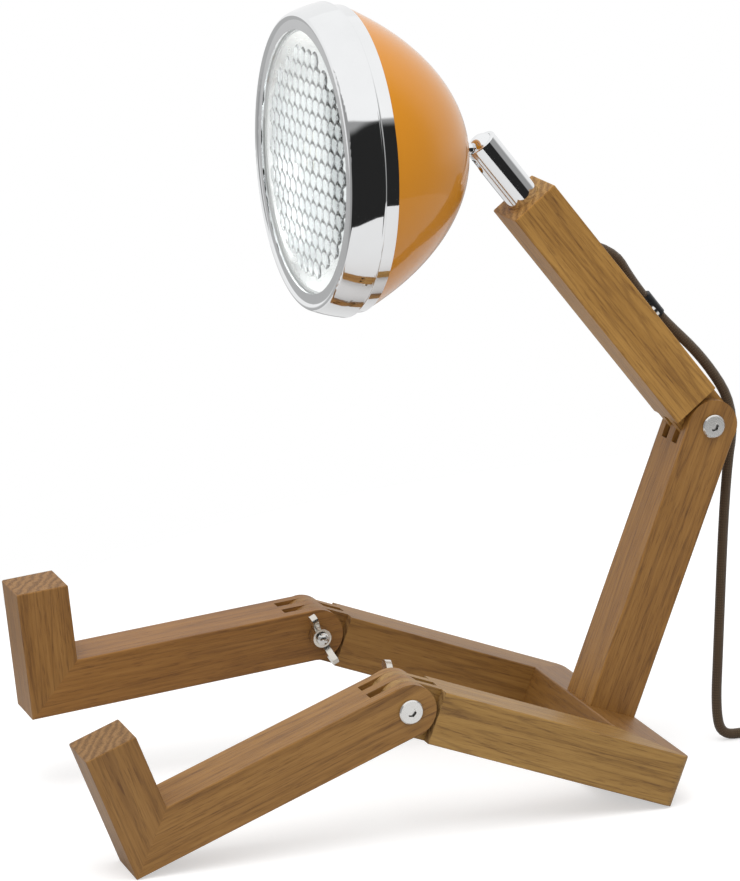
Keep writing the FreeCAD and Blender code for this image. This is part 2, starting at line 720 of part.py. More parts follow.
# Neck: a slotted tube with a spherical seat, and a ball with a hollow stud.
def build_neck():
    body = new_body("neck_tube_turned")
    sketch = new_sketch(body, "neck_tube_profile", "XZ_Plane")
    outer = d.tube_width / 2
    seat = d.ball_width / 2 + d.ball_play
    bore = d.tube_bore / 2
    mouth = d.arm_reach + d.tube_reach
    centre = mouth - d.ball_drop
    bottom = d.arm_reach - d.tube_depth
    low = math.sqrt(number(seat) ** 2 - number(bore) ** 2)
    lip = math.sqrt(number(seat) ** 2 - number(d.ball_drop) ** 2)
    sketch_points = [
        (bore, bottom), (outer, bottom), (outer, mouth - 0.5), (outer - 0.5, mouth, zero + 0.5, 1),
        (zero + lip, mouth), (seat, centre, seat, -1), (bore, centre - low, seat, -1),
    ]
    outline(sketch, sketch_points)
    turned(body, sketch)
    width = d.stud_width / 2 + d.slot_play
    slot = new_sketch(body, "neck_slot", "XZ_Plane")
    outline(slot, [
        (-width, mouth + 1), (-width, mouth - d.slot_depth + width),
        (zero, mouth - d.slot_depth, width, 1),
        (width, mouth - d.slot_depth + width, width, 1),
        (width, mouth + 1),
    ])
    pocket_feature = body.newObject("PartDesign::Pocket", "neck_slot_pocket")
    pocket_feature.Profile = slot
    pocket_feature.Type = "Length"
    pocket_feature.Length = number(d.tube_width)
    pocket_feature.setExpression("Length", d.tube_width.text)
    pocket_feature.Reversed = True
    keep("neck_tube", body, arm_place)

    ball = new_body("ball_stud_turned")
    profile = new_sketch(ball, "ball_stud_profile", "XY_Plane")
    radius = d.ball_width / 2
    hole = d.stud_bore / 2
    stud = d.stud_width / 2
    collar = d.collar_width / 2
    inner = math.sqrt(number(radius) ** 2 - number(hole) ** 2)
    outer_y = math.sqrt(number(radius) ** 2 - number(stud) ** 2)
    seat = d.bowl_reach + seat_sag
    outline(profile, [
        (hole, zero + inner, radius, 1), (hole, -d.stud_reach), (stud, -d.stud_reach), (stud, -seat),
        (collar, -seat), (collar, -(seat - d.collar_height)), (stud, -(seat - d.collar_height)),
        (stud, zero - outer_y), (radius, zero, radius, 1),
    ])
    turned(ball, profile)
    keep("ball_stud", ball, head_place)


# Head, drawn with the ball's centre at the origin and the lens towards -Y. In each profile, x is the
# radius and y the position along the head's axis.
bowl_share = 1 - math.sqrt(1 - (number(d.bowl_rim_radius) / number(d.bowl_half_width)) ** 2)
bowl_axis = d.bowl_depth / bowl_share
nose_radius = number(d.bowl_half_width) ** 2 / number(bowl_axis)
seat_sag = number(d.collar_width / 2) ** 2 / (2 * nose_radius)
facing = Placement(Vector(), Rotation(Vector(1, 0, 0), 90))


def on_axis(reach, radius=0.0):
    """A point of the head: its distance in front of the ball and, downwards, from the axis."""
    return Vector(0, -number(reach), -number(radius))


def forward(reach):
    """The placement that turns Z to the lens at a distance in front of the ball."""
    return Placement(on_axis(reach), facing.Rotation)


def half_egg(name, wall):
    """The ellipsoid that the shell follows, smaller all round by a wall."""
    egg = doc.addObject("Part::Ellipsoid", name)
    egg.setExpression("Radius1", (bowl_axis - wall).text)
    egg.setExpression("Radius2", (d.bowl_half_width - wall).text)
    egg.setExpression("Radius3", (d.bowl_half_width - wall).text)
    egg.Placement = forward(d.bowl_reach + bowl_axis)
    return egg


def build_bowl():
    rim = d.bowl_reach + d.bowl_depth
    room = cylinder("bowl_room", d.bowl_half_width, d.bowl_depth + 2, forward(d.bowl_reach - 2))
    outside = doc.addObject("Part::Common", "bowl_outside")
    outside.Base = half_egg("bowl_outer_egg", zero)
    outside.Tool = room
    lip_radius = d.bowl_rim_radius - d.bezel_inset - d.bezel_play
    lip = cylinder("bowl_lip_block", lip_radius, d.bowl_lip + d.bezel_wall, forward(rim - d.bezel_wall))
    block = doc.addObject("Part::Fuse", "bowl_block")
    block.Base = outside
    block.Tool = lip
    inside = doc.addObject("Part::Common", "bowl_inside")
    inside.Base = half_egg("bowl_inner_egg", d.bowl_wall)
    inside.Tool = cylinder("bowl_inner_room", d.bowl_half_width, d.bowl_depth - d.bezel_wall,
                           forward(d.bowl_reach))
    throat = cylinder("bowl_throat", lip_radius - d.bowl_wall, d.bowl_lip + 4,
                      forward(rim - d.bezel_wall * 2))
    seat = cylinder("bowl_seat", d.collar_width / 2 + 0.1, zero + seat_sag + 1, forward(d.bowl_reach - 1))
    bore = cylinder("bowl_stud_hole", d.stud_width / 2, zero + 10, forward(d.bowl_reach - 5))
    vent = new_body("bowl_vent")
    sketch = new_sketch(vent, "bowl_vent_outline", "XZ_Plane")
    half = d.vent_length / 2
    end = d.vent_width / 2
    low = d.vent_radius - end
    high = d.vent_radius + end
    outline(sketch, [(-half, low), (half, low), (half, high), (-half, high)])
    pad(vent, sketch, zero + 30)
    vent.Placement = Placement(Vector(), Rotation(Vector(0, 1, 0), 35))
    screw = cylinder("bowl_screw_hole", d.bezel_screw_width / 2, zero + 10,
                     along(on_axis(bezel_screw_reach, number(d.bowl_rim_radius) - 5), Vector(0, 0, -1)))
    keep("head_bowl", cut("bowl", block, [inside, throat, seat, bore, vent, screw]), head_place)


bezel_screw_reach = d.bowl_reach + d.bowl_depth + d.rear_band / 2


def build_bezel():
    rear = d.bowl_reach + d.bowl_depth
    front = rear + d.bezel_depth
    step = rear + d.rear_band
    band = d.bowl_rim_radius + d.bezel_wall - d.bezel_inset
    wide = d.bowl_rim_radius + d.band_step
    lip = front - d.lip_set
    body = new_body("bezel_spun")
    sketch = new_sketch(body, "bezel_profile", "XY_Plane")
    outline(sketch, [
        (d.lip_radius, -(lip - d.bezel_wall)),
        (d.lip_radius, -lip),
        (d.bead_radius - 1.7, -lip),
        (d.bead_radius, -front, zero + 2.2, 1),
        (d.bead_radius + 1.7, -(front - 1.5), zero + 2.2, 1),
        (wide, -(step + d.band_roll), d.bezel_bulge, 1),
        (wide - 0.5, -step, zero + 1.0, 1),
        (band, -step),
        (band, -rear),
        (band - d.bezel_wall, -rear),
        (band - d.bezel_wall, -(step + d.bezel_wall)),
        (wide - d.bezel_wall, -(step + d.bezel_wall)),
        (wall_back.x, -wall_back.y),
        (wall_front.x, -wall_front.y),
    ])
    turned(body, sketch)
    screw = cylinder("bezel_screw_hole", d.bezel_screw_width / 2, zero + 10,
                     along(on_axis(bezel_screw_reach, number(d.bowl_rim_radius) - 5), Vector(0, 0, -1)))
    keep("head_bezel", cut("bezel", body, [screw]), head_place)
    keep("bezel_screw", bezel_screw(band), head_place)


def build_lens_stack():
    """Lens, gasket, reflector and spring ring behind the bezel's lip, then the lit parts."""
    face = d.bowl_reach + d.bowl_depth + d.bezel_depth - d.lip_set - d.bezel_wall
    back = face - d.lens_thickness
    rim = d.lens_radius
    foot = number(d.lip_radius - d.lens_play)
    dome = (foot ** 2 + number(d.lens_dome) ** 2) / (number(d.lens_dome) * 2)
    keep("lens", ring_profile("lens", [
        (zero, -back), (zero, -(face + d.lens_dome)), (d.lip_radius - d.lens_play, -face, dome, 1),
        (rim, -face), (rim, -back),
    ]), head_place)
    seal = back - d.gasket_thickness
    keep("lens_gasket", ring_profile("lens_gasket", [
        (d.lip_radius, -seal), (d.lip_radius, -back), (rim, -back), (rim, -seal),
    ]), head_place)
    wall = d.reflector_wall
    flange = seal - wall
    throat = seal - d.reflector_depth
    keep("reflector", ring_profile("reflector", [
        (d.reflector_throat, -throat),
        (d.reflector_radius, -seal, d.reflector_bow, -1),
        (wall_front.x - 0.0, -seal),
        (wall_front.x - 0.0, -flange),
        (d.reflector_radius + wall, -flange),
        (d.reflector_throat + wall * 1.5, -throat, d.reflector_bow + wall, 1),
    ]), head_place)
    slant = wall_back - wall_front
    across = Vector(slant.y, -slant.x, 0).normalize()
    wire = number(d.spring_wire / 2)
    level = number(flange) - wire
    share = (level - wall_front.y) / slant.y
    spot = wall_front + slant * share
    ring = doc.addObject("Part::Torus", "spring_ring_wire")
    ring.Radius1 = spot.x - wire / abs(across.x)
    ring.setExpression("Radius2", (d.spring_wire / 2).text)
    ring.Placement = forward(level)
    keep("spring_ring", together("spring_ring_set", [ring]), head_place)
    board = throat - d.board_thickness
    plate = cylinder("board_plate", d.board_radius, d.board_thickness, forward(board))
    keep("light_board", together("light_board_set", [plate]), head_place)
    chip = cylinder("emitter_dome", d.emitter_radius, d.board_thickness, forward(throat))
    keep("emitter", together("emitter_set", [chip]), head_place)
    back_plate = board - d.sink_depth
    core = cylinder("sink_core", d.board_radius, d.sink_depth, forward(back_plate))
    slots = [cylinder("sink_bore", d.lead_width / 2, d.sink_depth, forward(back_plate))]
    for k in range(4):
        channel = doc.addObject("Part::Box", f"sink_slot_{k + 1}")
        channel.setExpression("Length", (d.board_radius * 2).text)
        channel.Width = number(d.sink_depth - 4)
        channel.setExpression("Width", (d.sink_depth - 4).text)
        channel.setExpression("Height", d.sink_slot.text)
        height = number(d.board_radius) * (2 * k - 3) / 4 - number(d.sink_slot / 2)
        channel.Placement = Placement(Vector(-number(d.board_radius),
                                             -number(back_plate + d.sink_depth - 4), height), Rotation())
        slots.append(channel)
    keep("heat_sink", cut("sink", core, slots), head_place)
    start = math.sqrt(number(d.ball_width / 2) ** 2 - number(d.stud_bore / 2) ** 2)
    lead = cylinder("head_lead_run", d.lead_width / 2, board + start, forward(-start))
    keep("head_lead", together("head_lead_set", [lead]), head_place)
    inner = d.bowl_reach + d.bowl_wall + seat_sag
    washer = doc.addObject("Part::Cut", "stud_washer_ring")
    washer.Base = cylinder("washer_disc", d.collar_width / 2, d.washer_height, forward(inner))
    washer.Tool = cylinder("washer_hole", d.stud_width / 2, d.washer_height, forward(inner))
    nut = new_body("stud_nut_blank")
    sketch = new_sketch(nut, "stud_nut_outline", "XY_Plane")
    radius = d.stud_nut_width / math.sqrt(3)
    corners = [(radius * math.cos(math.pi * k / 3), radius * math.sin(math.pi * k / 3)) for k in range(6)]
    outline(sketch, corners)
    circle(sketch, (zero, zero), d.stud_width / 2)
    pad(nut, sketch, d.stud_nut_height)
    nut.Placement = forward(inner + d.washer_height)
    keep("stud_nut", together("stud_nut_set", [washer, nut]), head_place)


def bezel_screw(band):
    """The small screw under the head that holds the bezel on the shell, flush with the band."""
    length = d.bezel_wall + d.bezel_play + d.bowl_wall
    start = on_axis(bezel_screw_reach, number(band - length))
    return together("bezel_screw_set", [
        cylinder("bezel_screw_shank", d.bezel_screw_width / 2, length, along(start, Vector(0, 0, -1))),
    ])


def ring_profile(name, points):
    """A body turned about the head's axis from its profile."""
    body = new_body(name + "_turned")
    outline(new_sketch(body, name + "_profile", "XY_Plane"), points)
    turned(body, body.Group[-1])
    return body


# The bezel's inner wall between its wide band and its bead, which the spring ring presses on.
wall_back = Vector(number(d.bowl_rim_radius + d.band_step - d.bezel_wall),
                   number(d.bowl_reach + d.bowl_depth + d.rear_band + d.band_roll), 0)
wall_front = Vector(number(d.bead_radius + 0.7),
                    number(d.bowl_reach + d.bowl_depth + d.bezel_depth - d.lip_set - d.bezel_wall), 0)


# Cords. A route is straight runs joined by tangent arcs.
def route(name, points, width):
    """The wire through the points, its arcs as large as 0.45 of the shorter run allows."""
    runs = [points[k + 1] - points[k] for k in range(len(points) - 1)]
    edges = []
    start = points[0]
    tightest = 1e9
    for k in range(1, len(points) - 1):
        before, after = runs[k - 1], runs[k]
        turn = before.getAngle(after)
        reach = 0.45 * min(before.Length, after.Length)
        radius = reach / math.tan(turn / 2)
        tightest = min(tightest, radius)
        leave = points[k] - Vector(before).normalize() * reach
        join = points[k] + Vector(after).normalize() * reach
        bend_in = (Vector(after).normalize() - Vector(before).normalize()).normalize()
        middle = points[k] + bend_in * (radius / math.cos(turn / 2) - radius)
        edges.append(Part.makeLine(start, leave))
        edges.append(Part.Arc(leave, middle, join).toShape())
        start = join
    edges.append(Part.makeLine(start, points[-1]))
    print(f"{name}: length {sum(edge.Length for edge in edges):.1f} mm, tightest radius {tightest:.1f} mm")
    return edges


def tube(name, edges, radius):
    """A round tube along the edges."""
    path = Part.Wire(edges)
    first = edges[0]
    begin = first.Vertexes[0].Point
    direction = first.tangentAt(first.FirstParameter)
    ring = Part.Wire([Part.makeCircle(radius, begin, direction)])
    sweep = Part.BRepOffsetAPI.MakePipeShell(path)
    sweep.add(ring)
    sweep.build()
    sweep.makeSolid()
    return shaped(name, sweep.shape())


def lamp_point(x, y, z):
    """A point given from the middle of the seat frame's rear foot edge, on the table."""
    return shift.multVec(Vector(x, y, z))


clipped = number(cord_radius + d.clip_wall)
back = number(half_height) + clipped
clip_start = number(d.arm_reach - d.clip_distance) + 16.3
split_point = Vector(-number(d.clip_shift), back, clip_start - 23.5)


inner_end = exit_point - exit_direction * 12
arm_cord_edges = route("cord on the arm", [
    inner_end,
    Vector(-1, back + 2, exit_point.z - 7.7),
    Vector(-number(d.clip_shift), back, clip_start),
    split_point,
], d.cord_width)


def build_arm_cord():
    axis_point = exit_point - exit_direction * (number(half_height) / math.sin(slope))
    top = Vector(0, 0, number(ball_reach - d.ball_width / 2 - 1.5))
    keep("cord_arm_run", tube("cord_arm_tube", arm_cord_edges, number(cord_radius)), arm_place)
    lead = [inner_end, axis_point, top]
    keep("arm_lead", tube("arm_lead_tube", route("lead in the arm", lead, d.lead_width),
                          number(d.lead_width / 2)),
         arm_place)


def build_clip():
    """A clip of sheet bent round the cord, with a lug and a screw beside it."""
    low = clip_middle - number(d.clip_length / 2)
    centre = Vector(-number(d.clip_shift), back, low)
    ring = cylinder("clip_loop", cord_radius + d.clip_wall, d.clip_length, Placement(centre, Rotation()))
    lug = doc.addObject("Part::Box", "clip_lug_plate")
    lug.setExpression("Length", (cord_radius + d.clip_wall + d.clip_lug).text)
    lug.setExpression("Width", d.clip_wall.text)
    lug.setExpression("Height", d.clip_length.text)
    lug.Placement = Placement(Vector(centre.x, number(half_height), low), Rotation())
    joined = doc.addObject("Part::Fuse", "clip_sheet")
    joined.Base = ring
    joined.Tool = lug
    room = cylinder("clip_room", cord_radius, d.clip_length, Placement(centre, Rotation()))
    hole = cylinder("clip_hole", d.clip_screw_width / 2, half_height * 2,
                    along(clip_screw_point, Vector(0, 1, 0)))
    keep("cord_clip", cut("clip", joined, [room, hole]), arm_place)
    shank = d.clip_screw_length + d.clip_wall
    start = clip_screw_point - Vector(0, number(d.clip_screw_length), 0)
    screw = cylinder("clip_screw_shank", d.clip_screw_width / 2, shank, along(start, Vector(0, 1, 0)))
    head = cylinder("clip_screw_head", d.clip_screw_width, d.clip_screw_width / 2,
                    along(clip_screw_point + Vector(0, number(d.clip_wall), 0), Vector(0, 1, 0)))
    both = doc.addObject("Part::Fuse", "clip_screw_whole")
    both.Base = screw
    both.Tool = head
    keep("clip_screw", both, arm_place)


FLOOR = number(cord_radius)
coil_start = Vector(-4.6, 107.5, FLOOR)


def build_drop():
    """The hanging stretch, from under the clip over the elbow and down to the table."""
    over_elbow = Vector(-number(d.clip_shift), back + 6.3, 20)
    seam = (over_elbow - split_point).normalize() * 0.6
    points = [
        arm_place.multVec(split_point + seam),
        arm_place.multVec(over_elbow),
        lamp_point(-4.6, 70.5, 168),
        lamp_point(-4.6, 62.3, 132),
        lamp_point(-4.6, 62.3, FLOOR),
        lamp_point(coil_start.x, coil_start.y, FLOOR),
    ]
    keep("cord_drop", tube("cord_drop_tube", route("hanging cord", points, d.cord_width),
                           number(cord_radius)))


def build_coil():
    """Two layers of turns: a spiral inwards, a climbing half turn, and a spiral outwards above it."""
    start = lamp_point(coil_start.x, coil_start.y, FLOOR)
    step = number(d.turn_pitch) / 2
    smallest = number(d.coil_inner_radius)
    half_turns = 8
    radii = [smallest + step * (half_turns - k) for k in range(half_turns)]
    climb = number(d.coil_layer)
    edges = []
    spot = start
    heading = 1
    for radius in radii:
        edges.append(half_turn(spot, heading, radius, 0))
        spot = spot + Vector(2 * radius * heading, 0, 0)
        heading = -heading
    edges.append(half_turn(spot, heading, smallest, climb))
    spot = spot + Vector(2 * smallest * heading, 0, climb)
    heading = -heading
    for radius in radii[::-1][:-1]:
        edges.append(half_turn(spot, heading, radius, 0))
        spot = spot + Vector(2 * radius * heading, 0, 0)
        heading = -heading
    length = sum(edge.Length for edge in edges)
    print(f"coil: length {length:.1f} mm, tightest radius {smallest:.1f} mm")
    print(f"coil: least gap to itself {least_gap(edges):.2f} mm")
    keep("cord_coil", tube("cord_coil_tube", edges, number(cord_radius)))
    return spot


def half_turn(spot, heading, radius, climb):
    """Half a turn clockwise from a point, towards +Y or -Y first, rising steadily by a climb."""
    finish = spot + Vector(2 * radius * heading, 0, climb)
    reach = (finish - spot).Length / 2
    middle = (spot + finish) / 2 + Vector(0, reach * heading, 0)
    return Part.Arc(spot, middle, finish).toShape()


def least_gap(edges):
    """The least distance between the surfaces of turns that don't follow each other."""
    points = []
    for edge in edges:
        points.extend(edge.discretize(Number=61)[:-1])
    length = [0.0]
    for k in range(1, len(points)):
        length.append(length[-1] + (points[k] - points[k - 1]).Length)
    least = 1e9
    for i in range(len(points)):
        for j in range(i + 1, len(points)):
            if length[j] - length[i] > 20:
                dx = points[i].x - points[j].x
                if abs(dx) < least:
                    least = min(least, points[i].distanceToPoint(points[j]))
    return least - number(d.cord_width)


def build_tail(start):
    """The cord from the coil to the switch, and from the switch to the plug."""
    middle = number(d.switch_height / 2)
    entry = lamp_point(46, 186, middle)
    first = [
        start,
        start + Vector(0, 25, 0),
        Vector(start.x + 4, start.y + 52, FLOOR),
        Vector(start.x + 22, entry.y, FLOOR),
        entry - Vector(12, 0, 0),
        entry + Vector(number(d.switch_bore), 0, 0),
    ]
    keep("cord_tail", tube("cord_tail_tube", route("cord to the switch", first, d.cord_width),
                           number(cord_radius)))
    leave = entry + Vector(number(d.switch_length), 0, 0)
    plug_entry = lamp_point(145, 146, number(d.plug_height / 2))
    second = [
        leave - Vector(number(d.switch_bore), 0, 0),
        leave + Vector(12, 0, 0),
        Vector(leave.x + 27, leave.y - 2, 4.5),
        Vector(plug_entry.x, plug_entry.y + 22, 4.5),
        plug_entry + Vector(0, 6, 0),
        plug_entry - Vector(0, number(d.switch_bore), 0),
    ]
    keep("cord_end", tube("cord_end_tube", route("cord to the plug", second, d.cord_width),
                          number(cord_radius)))
    return entry, plug_entry


def build_switch(entry):
    """A two part housing on the cord with a rocker in its top; the rocker turns on a pin."""
    place = Placement(entry - Vector(0, 0, number(d.switch_height / 2)), Rotation())
    bores = []
    for k, side in enumerate((0, 1)):
        spot = Vector(side * number(d.switch_length - d.switch_bore), 0, number(d.switch_height / 2))
        bores.append(cylinder(f"switch_cord_bore_{k + 1}", cord_radius, d.switch_bore,
                              along(spot, Vector(1, 0, 0))))
    halves = []
    for name, start in (("switch_lower", zero), ("switch_upper", d.switch_height / 2)):
        body = new_body(name + "_shell")
        sketch = new_sketch(body, name + "_plan", "XY_Plane", start)
        half = d.switch_width / 2
        long = d.switch_length
        nose = half * 0.45
        outline(sketch, [
            (zero, -nose), (long * 0.2, -half), (long * 0.8, -half), (long, -nose),
            (long, nose), (long * 0.8, half), (long * 0.2, half), (zero, nose),
        ])
        block = pad(body, sketch, d.switch_height / 2)
        level = number(zero) if start is zero else number(d.switch_height)
        ease(body, block, d.switch_wall, lambda edge: abs(edge.CenterOfMass.z - level) < 0.01
             and abs(edge.Vertexes[0].Z - edge.Vertexes[-1].Z) < 0.01)
        halves.append(body)
    middle = d.switch_length / 2
    rocker_room = doc.addObject("Part::Box", "rocker_room")
    rocker_room.setExpression("Length", (d.rocker_length + d.rocker_play * 2).text)
    rocker_room.setExpression("Width", (d.rocker_width + d.rocker_play * 2).text)
    rocker_room.setExpression("Height", (d.rocker_height + 6).text)
    corner = Vector(number(middle - d.rocker_length / 2 - d.rocker_play),
                    -number(d.rocker_width / 2 + d.rocker_play),
                    number(d.switch_height - d.rocker_height))
    rocker_room.Placement = Placement(corner, Rotation())
    pivot = Vector(number(middle), 0, number(d.switch_height - d.rocker_pivot))
    pin_length = d.rocker_width + d.rocker_play * 2 + 4
    pin_start = pivot - Vector(0, number(pin_length / 2), 0)
    pin_place = along(pin_start, Vector(0, 1, 0))
    pin_bore = cylinder("rocker_pin_bore", d.rocker_pin / 2, pin_length, pin_place)
    keep("switch_lower", cut("switch_lower_cut", halves[0], [bores[0]] + [bores[1]]), place)
    upper = doc.addObject("Part::Cut", "switch_upper_bored")
    upper.Base = halves[1]
    upper.Tool = doc.getObject("switch_lower_cut_tools")
    keep("switch_upper", cut("switch_upper_cut", upper, [rocker_room, pin_bore]), place)
    shaft = cylinder("rocker_pin_shaft", d.rocker_pin / 2, pin_length, pin_place)
    keep("rocker_pin", together("rocker_pin_set", [shaft]), place)
    body = new_body("rocker_block")
    sketch = new_sketch(body, "rocker_side", "XZ_Plane")
    half = d.rocker_length / 2
    outline(sketch, [
        (-(half - 2.5), -(d.rocker_height - d.rocker_pivot - 1.5)),
        (half - 2.5, -(d.rocker_height - d.rocker_pivot - 1.5)),
        (half - 0.6, d.rocker_pivot + 0.4),
        (zero, d.rocker_pivot - 0.9),
        (-(half - 0.6), d.rocker_pivot + 0.4),
    ])
    circle(sketch, (zero, zero), d.rocker_pin / 2 + d.bolt_play)
    pad(body, sketch, d.rocker_width, symmetric=True)
    tilt = Rotation(Vector(0, 1, 0), number(d.rocker_tilt))
    keep("rocker", body, place.multiply(Placement(pivot, tilt)))


def build_plug(entry):
    """A flat two pin plug lying on the table, its pins towards -Y."""
    place = Placement(entry, Rotation())
    body = new_body("plug_grip")
    sketch = new_sketch(body, "plug_plan", "XY_Plane", -(d.plug_height / 2))
    half = d.plug_width / 2
    start = d.relief_length
    end = d.relief_length + d.plug_length
    neck = d.plug_height * 0.4
    outline(sketch, [
        (-neck, -start), (-half, -(start + d.plug_length * 0.55)), (-(half - 4), -end),
        (half - 4, -end), (half, -(start + d.plug_length * 0.55)), (neck, -start),
    ])
    block = pad(body, sketch, d.plug_height)
    ease(body, block, d.switch_wall, lambda edge: abs(abs(edge.CenterOfMass.z) - number(d.plug_height / 2)) < 0.01
         and edge.CenterOfMass.y > -number(end) + 0.01)
    relief = doc.addObject("Part::Cone", "plug_relief")
    relief.setExpression("Radius1", (cord_radius + 1.2).text)
    relief.setExpression("Radius2", (d.plug_height * 0.38).text)
    relief.setExpression("Height", (d.relief_length + 1).text)
    relief.Placement = along(Vector(), Vector(0, -1, 0))
    whole = doc.addObject("Part::Fuse", "plug_whole")
    whole.Base = body
    whole.Tool = relief
    tools = [cylinder("plug_cord_bore", cord_radius, d.switch_bore, along(Vector(), Vector(0, -1, 0)))]
    pins = []
    for k in (-1, 1):
        spot = Vector(k * number(d.pin_spacing / 2), -number(end - 8), 0)
        face = Vector(spot.x, -number(end), 0)
        root = d.pin_width / 2 - 0.5
        tools.append(cylinder(f"plug_pin_bore_{k + 2}", root, d.pin_length, along(spot, Vector(0, -1, 0))))
        rod = doc.addObject("Part::Fuse", f"plug_pin_{k + 2}")
        rod.Base = cylinder(f"plug_pin_root_{k + 2}", root, zero + 9, along(spot, Vector(0, -1, 0)))
        rod.Tool = cylinder(f"plug_pin_rod_{k + 2}", d.pin_width / 2, d.pin_length,
                            along(face, Vector(0, -1, 0)))
        pins.append(rod)
    keep("plug_body", cut("plug", whole, tools), place)
    keep("plug_pins", together("plug_pin_pair", pins), place)
    return place.multVec(Vector(0, -number(end), 0))


# Build everything, then check and export it.
build_crosspiece()
build_rail("left_rail", 1)
build_rail("right_rail", -1)
keep("base_dowels", together("frame_pegs", frame_mitre_dowels("left_peg",
                                                              1) + frame_mitre_dowels("right_peg", -1)),
     seat_place)
build_post()
build_screws()
build_shin("left", 1, d.left_knee_bend)
build_shin("right", -1, d.right_knee_bend)
build_arm()
build_hinge("left_knee", shin_place(1, d.left_knee_bend), 1, -30)
build_hinge("right_knee", shin_place(-1, d.right_knee_bend), -1, 20)
build_hinge("elbow", seat_place.multiply(Placement(elbow_point, Rotation())), 1, 20)
build_neck()
build_bowl()
build_bezel()
build_lens_stack()
build_arm_cord()
build_clip()
build_drop()
tail_start = build_coil()
switch_entry, plug_entry = build_tail(tail_start)
build_switch(switch_entry)
plug_face = build_plug(plug_entry)

doc.recompute()
for item in doc.Objects:
    if "Invalid" in item.State or "Error" in item.State:
        raise RuntimeError(f"{item.Name} did not build: {item.State}")
for node, item in pieces.items():
    if item.Shape.isNull() or not item.Shape.isValid() or not item.Shape.Solids:
        raise RuntimeError(f"{node} has no valid solid")

os.makedirs("parts", exist_ok=True)
for node, item in pieces.items():
    item.Shape.exportStep(f"parts/{node}.step")


def told(name, point):
    print(f"{name}: {point.x:.6f} {point.y:.6f} {point.z:.6f}")


told("left knee", shin_place(1, d.left_knee_bend).Base)
told("right knee", shin_place(-1, d.right_knee_bend).Base)
told("elbow", arm_place.Base)
told("neck ball", head_place.Base)
told("arm axis", arm_place.Rotation.multVec(Vector(0, 0, 1)))
told("seat up", seat_place.Rotation.multVec(Vector(0, 0, 1)))
told("plug face", plug_face)
told("under face", seat_place.multVec(Vector(0, -number(half_width), 0)))
told("rocker pivot", pieces["rocker"].Placement.Base)
told("switch entry", switch_entry)
low = min(item.Shape.optimalBoundingBox(False).ZMin for item in pieces.values())
print(f"{len(pieces)} sub-parts, lowest point {low:.3f} mm")
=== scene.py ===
# %% [markdown]
# # Robot shaped desk lamp
# The lamp is a seated figure of square wooden laths with a round headlamp as its head. Its rigid parts
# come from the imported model. This lesson sets the camera, lays the braided cord, gives each surface
# its finish and presses a honeycomb into the lamp's glass.

# %% Load the frame
import math

import bpy
from mathutils import Matrix, Vector


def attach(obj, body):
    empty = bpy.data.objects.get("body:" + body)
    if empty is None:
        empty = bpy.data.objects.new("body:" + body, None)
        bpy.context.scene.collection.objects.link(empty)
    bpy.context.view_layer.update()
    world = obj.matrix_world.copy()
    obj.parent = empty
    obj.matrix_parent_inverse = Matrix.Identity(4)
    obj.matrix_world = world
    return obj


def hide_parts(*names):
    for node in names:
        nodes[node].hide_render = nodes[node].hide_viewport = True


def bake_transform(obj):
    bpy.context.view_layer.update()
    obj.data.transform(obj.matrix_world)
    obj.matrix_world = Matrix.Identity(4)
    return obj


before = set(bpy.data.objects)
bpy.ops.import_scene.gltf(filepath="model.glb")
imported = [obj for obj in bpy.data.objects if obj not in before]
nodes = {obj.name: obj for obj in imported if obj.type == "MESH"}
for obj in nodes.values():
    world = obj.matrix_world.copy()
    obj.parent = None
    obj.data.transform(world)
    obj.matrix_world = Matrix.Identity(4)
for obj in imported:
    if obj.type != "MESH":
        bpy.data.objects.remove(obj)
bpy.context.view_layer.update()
print("nodes:", len(nodes))

# %% [markdown]
# ## Camera
# The lamp was photographed from its left with a long lens. The place and the three directions below
# were fitted to the corners of the laths and to the rings of the head, so the render lies over the
# photograph. The lens follows from the fitted focal length in pixels and the picture's width.

# %% Camera
PICTURE_WIDTH = 740
SENSOR_WIDTH = 36.0
FOCAL_PIXELS = 4063.8
camera_place = Vector((1.72103, -0.61578, 0.62845))
camera_right = Vector((0.335931, 0.941780, -0.014132))
camera_up = Vector((-0.225019, 0.094815, 0.969730))
camera_data = bpy.data.cameras.new("lamp_camera")
camera_data.sensor_fit = "HORIZONTAL"
camera_data.sensor_width = SENSOR_WIDTH
camera_data.lens = FOCAL_PIXELS * SENSOR_WIDTH / PICTURE_WIDTH
camera_data.clip_end = 20.0
camera = bpy.data.objects.new("lamp_camera", camera_data)
bpy.context.scene.collection.objects.link(camera)
camera_back = camera_right.cross(camera_up).normalized()
turn = Matrix((camera_right, camera_up, camera_back)).transposed()
camera.matrix_world = Matrix.Translation(camera_place) @ turn.to_4x4()
bpy.context.scene.camera = camera
print("lens:", round(camera_data.lens, 1), "mm")
